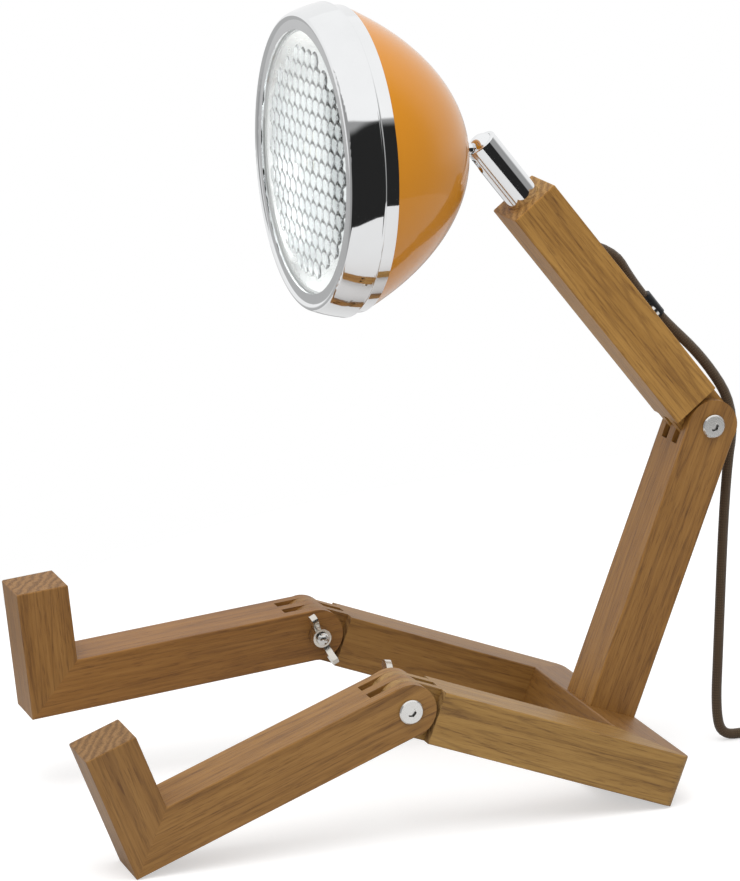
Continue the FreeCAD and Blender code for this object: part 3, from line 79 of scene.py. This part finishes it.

# %% [markdown]
# ## The cord
# A braided cord is limp: it leaves the arm at a slant, is held by a clip, hangs over the elbow and
# drops to the table under its own weight. The length that the photograph does not show is wound into
# a neat coil behind the lamp. One smooth spline goes through it all, so nothing looks like bent wire.
# The coil's turns are worked out from a radius and a step.

# %% Route of the cord
CORD_RADIUS = 0.0025
CLIP_END = (-0.0046, 0.1387, 0.2150)
on_the_arm = [(0.0, 0.0917, 0.2561), (-0.001, 0.1127, 0.2511), (-0.0046, 0.1242, 0.2334), CLIP_END]
hanging = [
    (-0.0046, 0.1622, 0.1925), (-0.0046, 0.1788, 0.1660), (-0.0046, 0.1735, 0.1320),
    (-0.0046, 0.1705, 0.0450), (-0.0046, 0.1695, 0.0165),
    (-0.0046, 0.1725, 0.0025), (-0.0046, 0.1870, 0.0025),
]
to_the_plug = [
    (-0.0046, 0.2432, 0.0080), (-0.0006, 0.2702, 0.0025), (0.0174, 0.2967, 0.0025), (0.0340, 0.2967, 0.0090),
    (0.0520, 0.2967, 0.0090), (0.0980, 0.2967, 0.0090), (0.1160, 0.2967, 0.0090), (0.1310, 0.2947, 0.0045),
    (0.1450, 0.2787, 0.0045), (0.1450, 0.2627, 0.0065), (0.1450, 0.2507, 0.0065),
]
COIL_START = Vector((-0.0046, 0.2182, 0.0025))
COIL_STEP = 0.0028
COIL_CORE = 0.0165
COIL_RISE = 0.0055
HALF_TURNS = 8
POINTS_PER_HALF = 10


def coil_points():
    """Half turns that wind inwards, rise by one layer at the middle and wind outwards again."""
    radii = [COIL_CORE + COIL_STEP * (HALF_TURNS - k) for k in range(HALF_TURNS)]
    turns = [(radius, 0.0) for radius in radii]
    turns.append((COIL_CORE, COIL_RISE))
    turns.extend((radius, 0.0) for radius in radii[::-1][:-1])
    spot = COIL_START.copy()
    heading = 1
    points = []
    for radius, rise in turns:
        middle = spot + Vector((radius * heading, 0, 0))
        for k in range(POINTS_PER_HALF):
            angle = math.pi * k / POINTS_PER_HALF
            lift = rise * (1 - math.cos(angle)) / 2
            points.append((
                middle.x - radius * heading * math.cos(angle),
                middle.y + radius * heading * math.sin(angle),
                spot.z + lift,
            ))
        spot = spot + Vector((2 * radius * heading, 0, rise))
        heading = -heading
    points.append(tuple(spot))
    return points


route = on_the_arm + hanging + coil_points() + to_the_plug
print("points on the cord:", len(route))

# %% Spline and tube of the cord
def nurbs_curve(name, points, bevel):
    data = bpy.data.curves.new(name, "CURVE")
    data.dimensions = "3D"
    data.resolution_u = 6
    data.bevel_depth = bevel
    data.bevel_resolution = 3
    spline = data.splines.new("NURBS")
    spline.points.add(len(points) - 1)
    for point, place in zip(spline.points, points):
        point.co = (*place, 1.0)
    spline.order_u = 3
    spline.use_endpoint_u = True
    curve = bpy.data.objects.new(name, data)
    bpy.context.scene.collection.objects.link(curve)
    return curve


def line_of(points):
    """The points of the smooth line that the spline gives."""
    curve = nurbs_curve("line", points, 0.0)
    mesh = bpy.data.meshes.new_from_object(curve)
    line = [tuple(vertex.co) for vertex in mesh.vertices]
    bpy.data.objects.remove(curve)
    bpy.data.meshes.remove(mesh)
    return line


def mesh_from(curve, name):
    mesh = bpy.data.meshes.new_from_object(curve)
    mesh.name = name
    piece = bpy.data.objects.new(name, mesh)
    bpy.context.scene.collection.objects.link(piece)
    bpy.data.objects.remove(curve)
    return piece


cord_line = line_of(route)
braided_cord = mesh_from(nurbs_curve("braided_cord_curve", route, CORD_RADIUS), "braided_cord")
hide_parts("cord_arm_run", "cord_drop", "cord_coil", "cord_tail", "cord_end")
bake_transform(braided_cord)

# %% [markdown]
# ## Writing a finish
# Every surface gets its finish from nodes. A hand-built node tree would be long to read, so two
# small classes help: Wire stands for the output of a node and lets sums be written as plain
# Python, and Finish holds one material and adds any other node with its settings and values.

# %% Helpers for finishes
def colour(red, green, blue):
    """A screen colour, 0 to 255, as the linear values that Blender takes."""
    parts = []
    for value in (red, green, blue):
        share = value / 255
        parts.append(share / 12.92 if share <= 0.04045 else ((share + 0.055) / 1.055) ** 2.4)
    return (*parts, 1.0)


class Wire:
    """The output of a node, with the sums that the finishes use."""

    def __init__(self, finish, socket):
        self.finish = finish
        self.socket = socket

    def sum_with(self, operation, *values):
        return self.finish.node("ShaderNodeMath", {"operation": operation}, dict(enumerate(values)))

    def __add__(self, other):
        return self.sum_with("ADD", self, other)

    __radd__ = __add__

    def __sub__(self, other):
        return self.sum_with("SUBTRACT", self, other)

    def __rsub__(self, other):
        return self.sum_with("SUBTRACT", other, self)

    def __mul__(self, other):
        return self.sum_with("MULTIPLY", self, other)

    __rmul__ = __mul__

    def absolute(self):
        return self.sum_with("ABSOLUTE", self)

    def sine(self):
        return self.sum_with("SINE", self)

    def larger(self, other):
        return self.sum_with("MAXIMUM", self, other)

    def remainder(self, other):
        return self.sum_with("FLOORED_MODULO", self, other)

    def step(self, low, high):
        """0 below the first value, 1 above the second, smooth between them."""
        return self.finish.node(
            "ShaderNodeMapRange", {"interpolation_type": "SMOOTHSTEP"},
            {"Value": self, "From Min": low, "From Max": high},
        )


class Finish:
    """One material and the nodes that feed its shader."""

    def __init__(self, name, **constants):
        self.material = bpy.data.materials.new(name)
        self.material.use_nodes = True
        self.tree = self.material.node_tree
        self.shader = self.tree.nodes["Principled BSDF"]
        for socket, value in constants.items():
            self.shader.inputs[socket.replace("_", " ")].default_value = value

    def node(self, kind, settings=None, values=None, output=0):
        node = self.tree.nodes.new(kind)
        for key, value in (settings or {}).items():
            if key == "stops":
                ramp = node.color_ramp
                while len(ramp.elements) < len(value):
                    ramp.elements.new(1.0)
                for element, (place, tone) in zip(ramp.elements, value):
                    element.position = place
                    element.color = tone
            else:
                setattr(node, key, value)
        for key, value in (values or {}).items():
            self.feed(node.inputs[key], value)
        return Wire(self, node.outputs[output])

    def feed(self, socket, value):
        if isinstance(value, Wire):
            self.tree.links.new(value.socket, socket)
        else:
            socket.default_value = value

    def set(self, **sockets):
        for name, value in sockets.items():
            self.feed(self.shader.inputs[name.replace("_", " ")], value)

    def place(self, output="Object"):
        return self.node("ShaderNodeTexCoord", output=output)

    def seen(self):
        """1 for what the camera sees, straight or through glass, and 0 for all other light."""
        straight = self.node("ShaderNodeLightPath", output="Is Camera Ray")
        return straight.larger(self.node("ShaderNodeLightPath", output="Is Transmission Ray"))

    def towards(self, vector, direction):
        """How far a vector points in a direction, from -1 to 1."""
        return self.node(
            "ShaderNodeVectorMath", {"operation": "DOT_PRODUCT"}, {0: vector, 1: direction}, output="Value",
        )

    def mapped(self, vector, scale=(1, 1, 1), rotation=(0, 0, 0), location=(0, 0, 0)):
        return self.node("ShaderNodeMapping", {}, {
            "Vector": vector, "Scale": scale, "Rotation": rotation, "Location": location,
        })

    def noise(self, vector, scale, detail=2.0, roughness=0.5):
        return self.node("ShaderNodeTexNoise", {}, {
            "Vector": vector, "Scale": scale, "Detail": detail, "Roughness": roughness,
        })

    def ramp(self, value, stops):
        return self.node("ShaderNodeValToRGB", {"stops": stops}, {"Fac": value})

    def mix(self, share, first, second):
        return self.node("ShaderNodeMix", {"data_type": "RGBA"}, {0: share, 6: first, 7: second}, output=2)

    def bump(self, height, strength, depth):
        self.set(Normal=self.node("ShaderNodeBump", {}, {
            "Height": height, "Strength": strength, "Distance": depth,
        }))


def finish_on(finish, *names):
    for name in names:
        slots = nodes[name].material_slots
        if not slots:
            nodes[name].data.materials.append(finish.material)
        for slot in slots:
            slot.material = finish.material
    finished.update(names)


finished = set()
print("helpers ready")

# %% [markdown]
# ## Oiled teak
# The body is of teak laths: golden brown, with darker streaks and short pores along each lath, and
# a duller, finely ringed end grain. A photograph of boards could be wrapped on, but it would show
# its seams at each cut. Here each lath gets its own finish in which noise is drawn out along that
# lath's grain, so the figure runs through the wood as the real one does.

# %% Wood finish
def toned(tint, tone):
    """A wood colour for one lath, because no two laths of a lamp are cut from the same board."""
    return [part * share for part, share in zip(colour(*tint)[:3], tone)] + [1.0]


def teak(name, grain, seed, tone):
    finish = Finish(name, Specular_IOR_Level=0.35, Coat_Roughness=0.36)
    grain = Vector(grain).normalized()
    square = tuple(grain.rotation_difference(Vector((0, 0, 1))).to_euler())
    lath = finish.mapped(finish.place(), rotation=square, location=(seed * 0.37, seed * 0.61, seed * 0.83))
    drift = finish.noise(finish.mapped(lath, scale=(1, 1, 0.12)), 55, detail=1.0)
    streaks = finish.noise(finish.mapped(lath, scale=(1, 1, 0.05)), 620, detail=4.0, roughness=0.65)
    bands = finish.noise(finish.mapped(lath, scale=(1, 1, 0.03)), 150, detail=2.0)
    pores = finish.noise(finish.mapped(lath, scale=(1, 1, 0.05)), 2400, detail=1.0)
    slow = finish.noise(finish.mapped(lath, scale=(1, 1, 0.06)), 75, detail=1.0)
    growth = 1 - ((slow * 7).remainder(1.0) - 0.5).absolute().step(0.02, 0.13)
    figure = streaks * 0.55 + bands * 0.33 + drift * 0.12
    light = toned((172, 131, 74), tone)
    middle = toned((152, 112, 58), tone)
    dark = toned((114, 78, 38), tone)
    board = finish.ramp(figure, [(0.28, dark), (0.46, middle), (0.66, light)])
    pore_mask = pores.step(0.55, 0.64) * streaks.step(0.66, 0.4)
    board = finish.mix(pore_mask * 0.42 + growth * 0.3, board, toned((96, 62, 32), tone))
    cut = finish.towards(finish.place("Normal"), tuple(grain)).absolute().step(0.8, 0.95)
    flat = finish.mapped(lath, scale=(1, 1, 0.0), location=(0.031, 0.052, 0.0))
    radius = finish.node("ShaderNodeVectorMath", {"operation": "LENGTH"}, {0: flat}, output="Value")
    wobble = finish.noise(finish.mapped(lath, scale=(1, 1, 0.2)), 160)
    rings = (radius * 1500 + wobble * 9).sine() * 0.5 + 0.5
    speck = finish.noise(lath, 1500, detail=1.0)
    end = finish.ramp(rings * 0.3 + speck * 0.7, [
        (0.25, toned((112, 82, 50), tone)),
        (0.5, toned((146, 112, 70), tone)),
        (0.75, toned((168, 132, 88), tone)),
    ])
    finish.set(
        Base_Color=finish.mix(cut, board, end),
        Roughness=0.46 + streaks * 0.14 + cut * 0.12,
        Coat_Weight=0.16 - cut * 0.08,
    )
    finish.bump(figure * 0.5 - pore_mask * 0.8 - rings * cut * 0.3, 0.35, 0.0003)
    return finish


LEAN = math.radians(20.91)
along_rail = (0, -math.cos(LEAN), math.sin(LEAN))
along_post = (0, 0.35656, 0.93427)
along_arm = (0, -0.61993, 0.78466)
left_slope = math.radians(20.8)
right_slope = math.radians(5.2)
along_left_shin = (0, math.cos(left_slope), math.sin(left_slope))
along_right_shin = (0, math.cos(right_slope), math.sin(right_slope))
along_left_foot = (0, -math.sin(left_slope), math.cos(left_slope))
along_right_foot = (0, -math.sin(right_slope), math.cos(right_slope))
laths = [
    ("base_crosspiece", (1, 0, 0), 1, (0.70, 0.62, 0.52)),
    ("base_left_rail", along_rail, 2, (0.98, 1.02, 0.94)),
    ("base_right_rail", along_rail, 3, (0.82, 0.76, 0.64)),
    ("post", along_post, 4, (0.89, 0.80, 0.63)),
    ("arm", along_arm, 5, (1.19, 1.15, 0.88)),
    ("left_shin", along_left_shin, 6, (0.86, 0.80, 0.70)),
    ("left_foot", along_left_foot, 7, (0.78, 0.72, 0.64)),
    ("right_shin", along_right_shin, 8, (0.80, 0.68, 0.54)),
    ("right_foot", along_right_foot, 9, (0.84, 0.76, 0.68)),
]
for node, grain, seed, tone in laths:
    finish_on(teak("teak_" + node, grain, seed, tone), node)
print("laths finished:", len(laths))

# %% Wooden pegs
peg = Finish("peg_wood", Specular_IOR_Level=0.4)
fibres = peg.noise(peg.mapped(peg.place(), scale=(0.1, 1, 1)), 1400, detail=3.0)
peg.set(
    Base_Color=peg.ramp(fibres, [(0.35, colour(150, 112, 70)), (0.65, colour(196, 160, 112))]),
    Roughness=0.5 + fibres * 0.2,
)
finish_on(peg, "base_dowels", "left_foot_dowels", "right_foot_dowels")

# %% [markdown]
# ## Metals
# The ring and the neck are chromed and mirror their surroundings, so they need something to mirror
# more than they need a colour. The bolts and wing nuts are nickel, a little warmer and softer. Real
# plating is never even: a faint noise in the roughness breaks up the long straight reflections.

# %% Plated metals
def plated(name, tint, low, high, scale=60):
    finish = Finish(name, Metallic=1.0)
    smudge = finish.noise(finish.place(), scale, detail=3.0)
    fine = finish.noise(finish.place(), scale * 20, detail=1.0)
    finish.set(
        Base_Color=finish.mix(smudge, colour(*tint), colour(*[value - 8 for value in tint])),
        Roughness=low + smudge * (high - low) + fine * 0.01,
    )
    return finish


chrome = plated("bright_chrome", (243, 244, 245), 0.02, 0.07)
finish_on(chrome, "neck_tube", "ball_stud", "head_bezel")
finish_on(plated("bolt_chrome", (232, 231, 228), 0.14, 0.26, 120), "left_knee_bolt", "right_knee_bolt",
          "elbow_bolt", "clip_screw", "post_screws", "bezel_screw", "spring_ring")
finish_on(plated("nut_nickel", (226, 221, 212), 0.14, 0.28, 150), "left_knee_wing_nut",
          "right_knee_wing_nut", "elbow_wing_nut", "stud_nut")
finish_on(plated("pin_nickel", (206, 202, 194), 0.15, 0.25), "plug_pins", "rocker_pin")

# %% Reflector with a painted glow, and heat sink
# The reflector's emission is painted light: a glow that stands in for the light that reaches it through the
# glass.
mirror = Finish(
    "reflector_mirror", Metallic=1.0, Emission_Color=(1.0, 1.0, 0.98, 1.0), Emission_Strength=0.27,
)
ripple = mirror.noise(mirror.place(), 180, detail=1.0)
mirror.set(
    Base_Color=mirror.mix(ripple, colour(244, 244, 242), colour(236, 237, 237)),
    Roughness=0.22 + ripple * 0.12,
)
mirror.bump(ripple, 0.15, 0.0004)
finish_on(mirror, "reflector")
turned = Finish("turned_aluminium", Metallic=1.0)
lathe = turned.noise(turned.mapped(turned.place(), scale=(0.2, 1, 1)), 1500, detail=2.0)
turned.set(
    Base_Color=turned.mix(lathe, colour(176, 178, 180), colour(198, 200, 202)),
    Roughness=0.32 + lathe * 0.18,
)
turned.bump(lathe, 0.2, 0.0001)
finish_on(turned, "heat_sink")

# %% [markdown]
# ## Enamel
# The shell is sprayed and stoved: an even, warm orange under a clear glossy coat, with the very slight
# orange peel of sprayed paint, which a faint noise gives.

# %% Orange enamel
enamel = Finish("orange_enamel", Coat_Weight=0.8, Coat_IOR=1.35, Coat_Roughness=0.03, Specular_IOR_Level=0.15)
cloud = enamel.noise(enamel.place(), 9, detail=1.0)
peel = enamel.noise(enamel.place(), 700, detail=1.0)
enamel.set(
    Base_Color=enamel.mix(cloud, colour(208, 132, 14), colour(214, 139, 18)),
    Roughness=0.3 + peel * 0.06,
)
enamel.bump(peel, 0.04, 0.0001)
finish_on(enamel, "head_bowl")

# %% [markdown]
# ## Where the head looks
# The honeycomb has to lie square to the glass. The middle of the glass is found from its own faces,
# and the line from the neck's ball to it is the way that the head looks.

# %% Direction of the head
BALL = Vector((0.0, 0.04883, 0.30260))


def mean_of(name):
    """The middle of a piece, with each face counted by its area."""
    mesh = nodes[name].data
    total = Vector((0, 0, 0))
    for face in mesh.polygons:
        total += face.center * face.area
    return total / sum(face.area for face in mesh.polygons)


facing_out = mean_of("lens") - BALL
facing_out.x = 0.0
lens_reach = facing_out.length
facing_out.normalize()
lens_middle = BALL + facing_out * lens_reach
head_up = Vector((1, 0, 0)).cross(facing_out).normalized()
if head_up.z < 0:
    head_up = -head_up
print("lens faces", [round(value, 3) for value in facing_out], "at", round(lens_reach * 1000, 1), "mm")

# %% Glass
def clear_glass(name, bending):
    """Glass with a faint haze. A low bending keeps the far side of the dome from mirroring the dark."""
    finish = Finish(name, Transmission_Weight=1.0, IOR=bending)
    trace = finish.noise(finish.place(), 25, detail=1.0)
    finish.set(
        Base_Color=finish.mix(trace, colour(253, 254, 254), colour(248, 251, 252)),
        Roughness=trace * 0.02,
    )
    return finish


finish_on(clear_glass("lens_glass", 1.14), "lens")

# %% [markdown]
# ## Honeycomb on the inside of the glass
# The glass is pressed with small hexagonal domes on its inner face, which spread the light. Sculpting
# the whole face would need a very fine mesh. One dome is modelled instead, from a filled six-sided
# circle that is subdivided and extruded, and it is copied to each place of a honeycomb. A ray cast
# against the glass gives the place and the tilt of every copy.

# %% One cell
CELL = 0.0078
CELL_RISE = 0.0009
CELL_BASE = 0.0004
CELL_CORNER = CELL / math.sqrt(3)
ROW_STEP = CELL * math.sqrt(3) / 2
SHARE_FILLED = 0.985
FIELD_RADIUS = 0.051
bpy.ops.object.select_all(action="DESELECT")
bpy.ops.mesh.primitive_circle_add(vertices=6, radius=CELL_CORNER * SHARE_FILLED, fill_type="TRIFAN")
cell = bpy.context.object
bpy.ops.object.mode_set(mode="EDIT")
bpy.ops.mesh.select_all(action="SELECT")
bpy.ops.mesh.subdivide(number_cuts=1)
bpy.ops.mesh.extrude_region_move(TRANSFORM_OT_translate={"value": (0, 0, CELL_BASE)})
bpy.ops.object.mode_set(mode="OBJECT")
for vertex in cell.data.vertices:
    if vertex.co.z > CELL_BASE / 2:
        vertex.co.z += CELL_RISE * (1 - (vertex.co.xy.length / CELL_CORNER) ** 2)
bpy.ops.object.mode_set(mode="EDIT")
bpy.ops.mesh.select_all(action="SELECT")
bpy.ops.mesh.normals_make_consistent(inside=False)
bpy.ops.object.mode_set(mode="OBJECT")
print("faces in a cell:", len(cell.data.polygons))

# %% Copies on the glass
INWARDS = -facing_out
SIDEWAYS = Vector((1, 0, 0))
RAY_START = 0.02
SURFACE_GAP = 0.0001
cells = []
rows = int(FIELD_RADIUS / ROW_STEP) + 1
columns = int(FIELD_RADIUS / CELL) + 1
lens = nodes["lens"]
for row in range(-rows, rows + 1):
    for column in range(-columns, columns + 1):
        sideways = (column + (row % 2) / 2) * CELL
        upwards = row * ROW_STEP
        if math.hypot(sideways, upwards) > FIELD_RADIUS:
            continue
        origin = lens_middle + SIDEWAYS * sideways + head_up * upwards + INWARDS * RAY_START
        hit, spot, normal, _ = lens.ray_cast(origin, facing_out)
        if not hit:
            continue
        copy = cell.copy()
        copy.data = cell.data.copy()
        bpy.context.scene.collection.objects.link(copy)
        normal = normal if normal.dot(INWARDS) > 0 else -normal
        side = head_up.cross(normal).normalized()
        up = normal.cross(side)
        turned_cell = Matrix((side, up, normal)).transposed().to_4x4()
        copy.data.transform(Matrix.Translation(spot + normal * SURFACE_GAP) @ turned_cell)
        cells.append(copy)
bpy.data.objects.remove(cell)
bpy.ops.object.select_all(action="DESELECT")
for copy in cells:
    copy.select_set(True)
bpy.context.view_layer.objects.active = cells[0]
bpy.ops.object.join()
honeycomb = bpy.context.object
honeycomb.name = "lens_honeycomb"
honeycomb.data.materials.append(clear_glass("pressed_glass", 1.36).material)
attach(honeycomb, "head")
print("cells:", len(cells), "faces:", len(honeycomb.data.polygons))

# %% [markdown]
# ## Plastics and rubber
# The clip, the switch and the plug are moulded plastic with a fine even skin. The gasket, the board
# and the light source lie behind the glass, where little light reaches them in a render. A small
# glow of their own makes up for it.


# %% Plastics
def moulded(name, tint, low, high, grain=900, depth=0.00004, glow=0.0):
    finish = Finish(name, Specular_IOR_Level=0.45, Emission_Color=colour(*tint), Emission_Strength=glow)
    skin = finish.noise(finish.place(), grain, detail=2.0)
    haze = finish.noise(finish.place(), 40, detail=1.0)
    finish.set(
        Base_Color=finish.mix(haze, colour(*tint), colour(*[min(255, value + 9) for value in tint])),
        Roughness=low + skin * (high - low),
    )
    finish.bump(skin, 0.25, depth)
    return finish


finish_on(moulded("clip_black", (24, 24, 25), 0.25, 0.45), "cord_clip")
finish_on(moulded("rubber_grey", (176, 177, 176), 0.5, 0.7, 500, glow=0.5), "lens_gasket")
finish_on(moulded("board_white", (222, 222, 216), 0.4, 0.55, glow=0.6), "light_board")
finish_on(moulded("emitter_yellow", (250, 244, 220), 0.35, 0.5, glow=1.0), "emitter")
finish_on(moulded("lead_grey", (120, 118, 114), 0.4, 0.6), "arm_lead", "head_lead")
finish_on(moulded("switch_brown", (58, 48, 40), 0.35, 0.55), "switch_lower", "switch_upper", "plug_body")
finish_on(moulded("rocker_black", (30, 28, 27), 0.25, 0.4), "rocker")

# %% [markdown]
# ## Braid of the cord
# The cord's sleeve is braided from brown thread. Its pattern has to follow the cord through every
# bend, so the tube gets a map first: once round the cord and along its length in metres. The braid is
# then two sets of slanted ribs that take turns at being on top.

# %% Map along the cord
def map_along(tube, line, sides):
    """Map once round the tube and, in metres, along its line."""
    lengths = [0.0]
    for a, b in zip(line, line[1:]):
        lengths.append(lengths[-1] + (Vector(b) - Vector(a)).length)
    mesh = tube.data
    for layer in list(mesh.uv_layers):
        mesh.uv_layers.remove(layer)
    layer = mesh.uv_layers.new(name="along_cord")
    for face in mesh.polygons:
        rounds = [mesh.loops[k].vertex_index % sides for k in face.loop_indices]
        wraps = max(rounds) - min(rounds) > sides / 2
        for k, turn in zip(face.loop_indices, rounds):
            ring = min(mesh.loops[k].vertex_index // sides, len(lengths) - 1)
            share = 1.0 if wraps and turn == 0 else turn / sides
            layer.data[k].uv = (share, lengths[ring])


sides = len(braided_cord.data.vertices) // len(cord_line)
print("sides of the cord:", sides, "left over:", len(braided_cord.data.vertices) - sides * len(cord_line))
map_along(braided_cord, cord_line, sides)
for face in braided_cord.data.polygons:
    face.use_smooth = True

# %% Braid, with painted shade in its grooves
RIBS_ROUND = 8
RIB_STEP = 0.0026
braid = Finish("cord_braid", Specular_IOR_Level=0.3, Sheen_Weight=0.3, Sheen_Roughness=0.4)
mapped = braid.node("ShaderNodeUVMap", {"uv_map": "along_cord"})
split = braid.node("ShaderNodeSeparateXYZ", {}, {"Vector": mapped})
around = split * (math.tau * RIBS_ROUND)
length = braid.node("ShaderNodeSeparateXYZ", {}, {"Vector": mapped}, output=1) * (math.tau / RIB_STEP)
left_ribs = (around + length).sine()
right_ribs = (around - length).sine()
turns = (left_ribs * right_ribs).step(-0.2, 0.2)
ribs = left_ribs.absolute() * turns + right_ribs.absolute() * (1 - turns)
threads = braid.noise(braid.place(), 3500, detail=1.0)
# The rib crests get the light browns and the grooves between ribs the dark browns: painted shade in the
# weave, mixed with random thread noise.
braid.set(
    Base_Color=braid.mix(
        ribs * 0.7 + threads * 0.3, braid.mix(turns, colour(44, 34, 27), colour(58, 45, 34)),
        braid.mix(turns, colour(92, 76, 58), colour(112, 92, 70)),
    ),
    Roughness=0.75 + threads * 0.15,
)
braid.bump(ribs + threads * 0.2, 0.6, 0.0003)
braided_cord.data.materials.clear()
braided_cord.data.materials.append(braid.material)

# %% [markdown]
# ## Table, light and surroundings
# The lamp stands in a white studio: a plain pale table, a broad soft light overhead and slightly to
# the front, and dark surroundings behind the camera that the chrome needs for its black bands. The
# light stays plain, so each finish shows about as it is written. The white behind the lamp comes from
# a glow of the table and of the surroundings that is only for the camera and lights nothing.

# %% Table
TABLE_RADIUS = 0.60
TABLE_MIDDLE = (0.06, 0.33, 0)
BLACK = (0.0, 0.0, 0.0, 1.0)
WHITE = (1.0, 1.0, 1.0, 1.0)
bpy.ops.object.select_all(action="DESELECT")
bpy.ops.mesh.primitive_circle_add(
    vertices=96, radius=TABLE_RADIUS, fill_type="NGON", location=TABLE_MIDDLE,
)
table = bpy.context.object
table.name = "white_table"
paper = Finish("white_table", Specular_IOR_Level=0.1, Emission_Strength=0.5)
paper.set(Base_Color=(0.62, 0.62, 0.62, 1.0), Roughness=0.9)
in_mirrors = paper.node("ShaderNodeLightPath", output="Is Glossy Ray") * 0.2
paper.set(Emission_Color=paper.mix(paper.seen().larger(in_mirrors), BLACK, WHITE))
table.data.materials.append(paper.material)

# %% Surroundings
ROOM_DIRECTION = (0.970, 0.050, -0.238)
BACKDROP_DIRECTION = (-1, 0, 0)
ROOM_GREY = 0.02
WALL_GREY = 0.34
world = bpy.data.worlds.new("white_studio")
bpy.context.scene.world = world
world.use_nodes = True


class Surroundings(Finish):
    """The world's nodes, written in the same way as a finish."""

    def __init__(self, own):
        self.tree = own.node_tree
        self.shader = self.tree.nodes["Background"]


studio = Surroundings(world)
ray = studio.node("ShaderNodeTexCoord", output="Generated")
height = studio.node("ShaderNodeSeparateXYZ", {}, {"Vector": ray}, output=2)
ceiling = height.step(0.57, 0.60)
room = studio.towards(ray, ROOM_DIRECTION).step(0.60, 0.68) * (1 - ceiling)
backdrop = studio.towards(ray, BACKDROP_DIRECTION).step(-0.1, 0.25) * (0.2 + height.step(-0.2, -0.03) * 0.8)
walls = WALL_GREY + backdrop * 0.6
in_mirrors = ceiling + (1 - ceiling) * (1 - room) * walls + room * ROOM_GREY
on_surfaces = 0.62 + height.larger(0.0) * 0.2
seen = studio.seen()
mirrored = studio.node("ShaderNodeLightPath", output="Is Glossy Ray")
elsewhere = 1 - seen.larger(mirrored)
studio.set(Color=WHITE, Strength=seen.larger(mirrored * in_mirrors) + elsewhere * on_surfaces)

# %% Soft light overhead
def soft_light(name, place, target, size, power):
    data = bpy.data.lights.new(name, "AREA")
    data.shape = "SQUARE"
    data.size = size
    data.energy = power
    lamp = bpy.data.objects.new(name, data)
    bpy.context.scene.collection.objects.link(lamp)
    lamp.location = place
    lamp.visible_glossy = False
    lamp.rotation_euler = (Vector(target) - Vector(place)).to_track_quat("-Z", "Y").to_euler()


LIT_SPOT = (0.0, 0.0, 0.2)
soft_light("overhead", (0.5, -0.3, 2.0), LIT_SPOT, 1.6, 22)
soft_light("front_fill", (1.6, -1.6, 1.0), LIT_SPOT, 1.2, 6)
bpy.context.scene.view_settings.view_transform = "Standard"
print("stage set")

# %% [markdown]
# ## Check and finish
# Each node of the model has to have a finish. The nodes without one are printed.

# %% Finish
bare = sorted(name for name in nodes if name not in finished and not name.startswith("cord_"))
print("nodes without a finish:", bare)
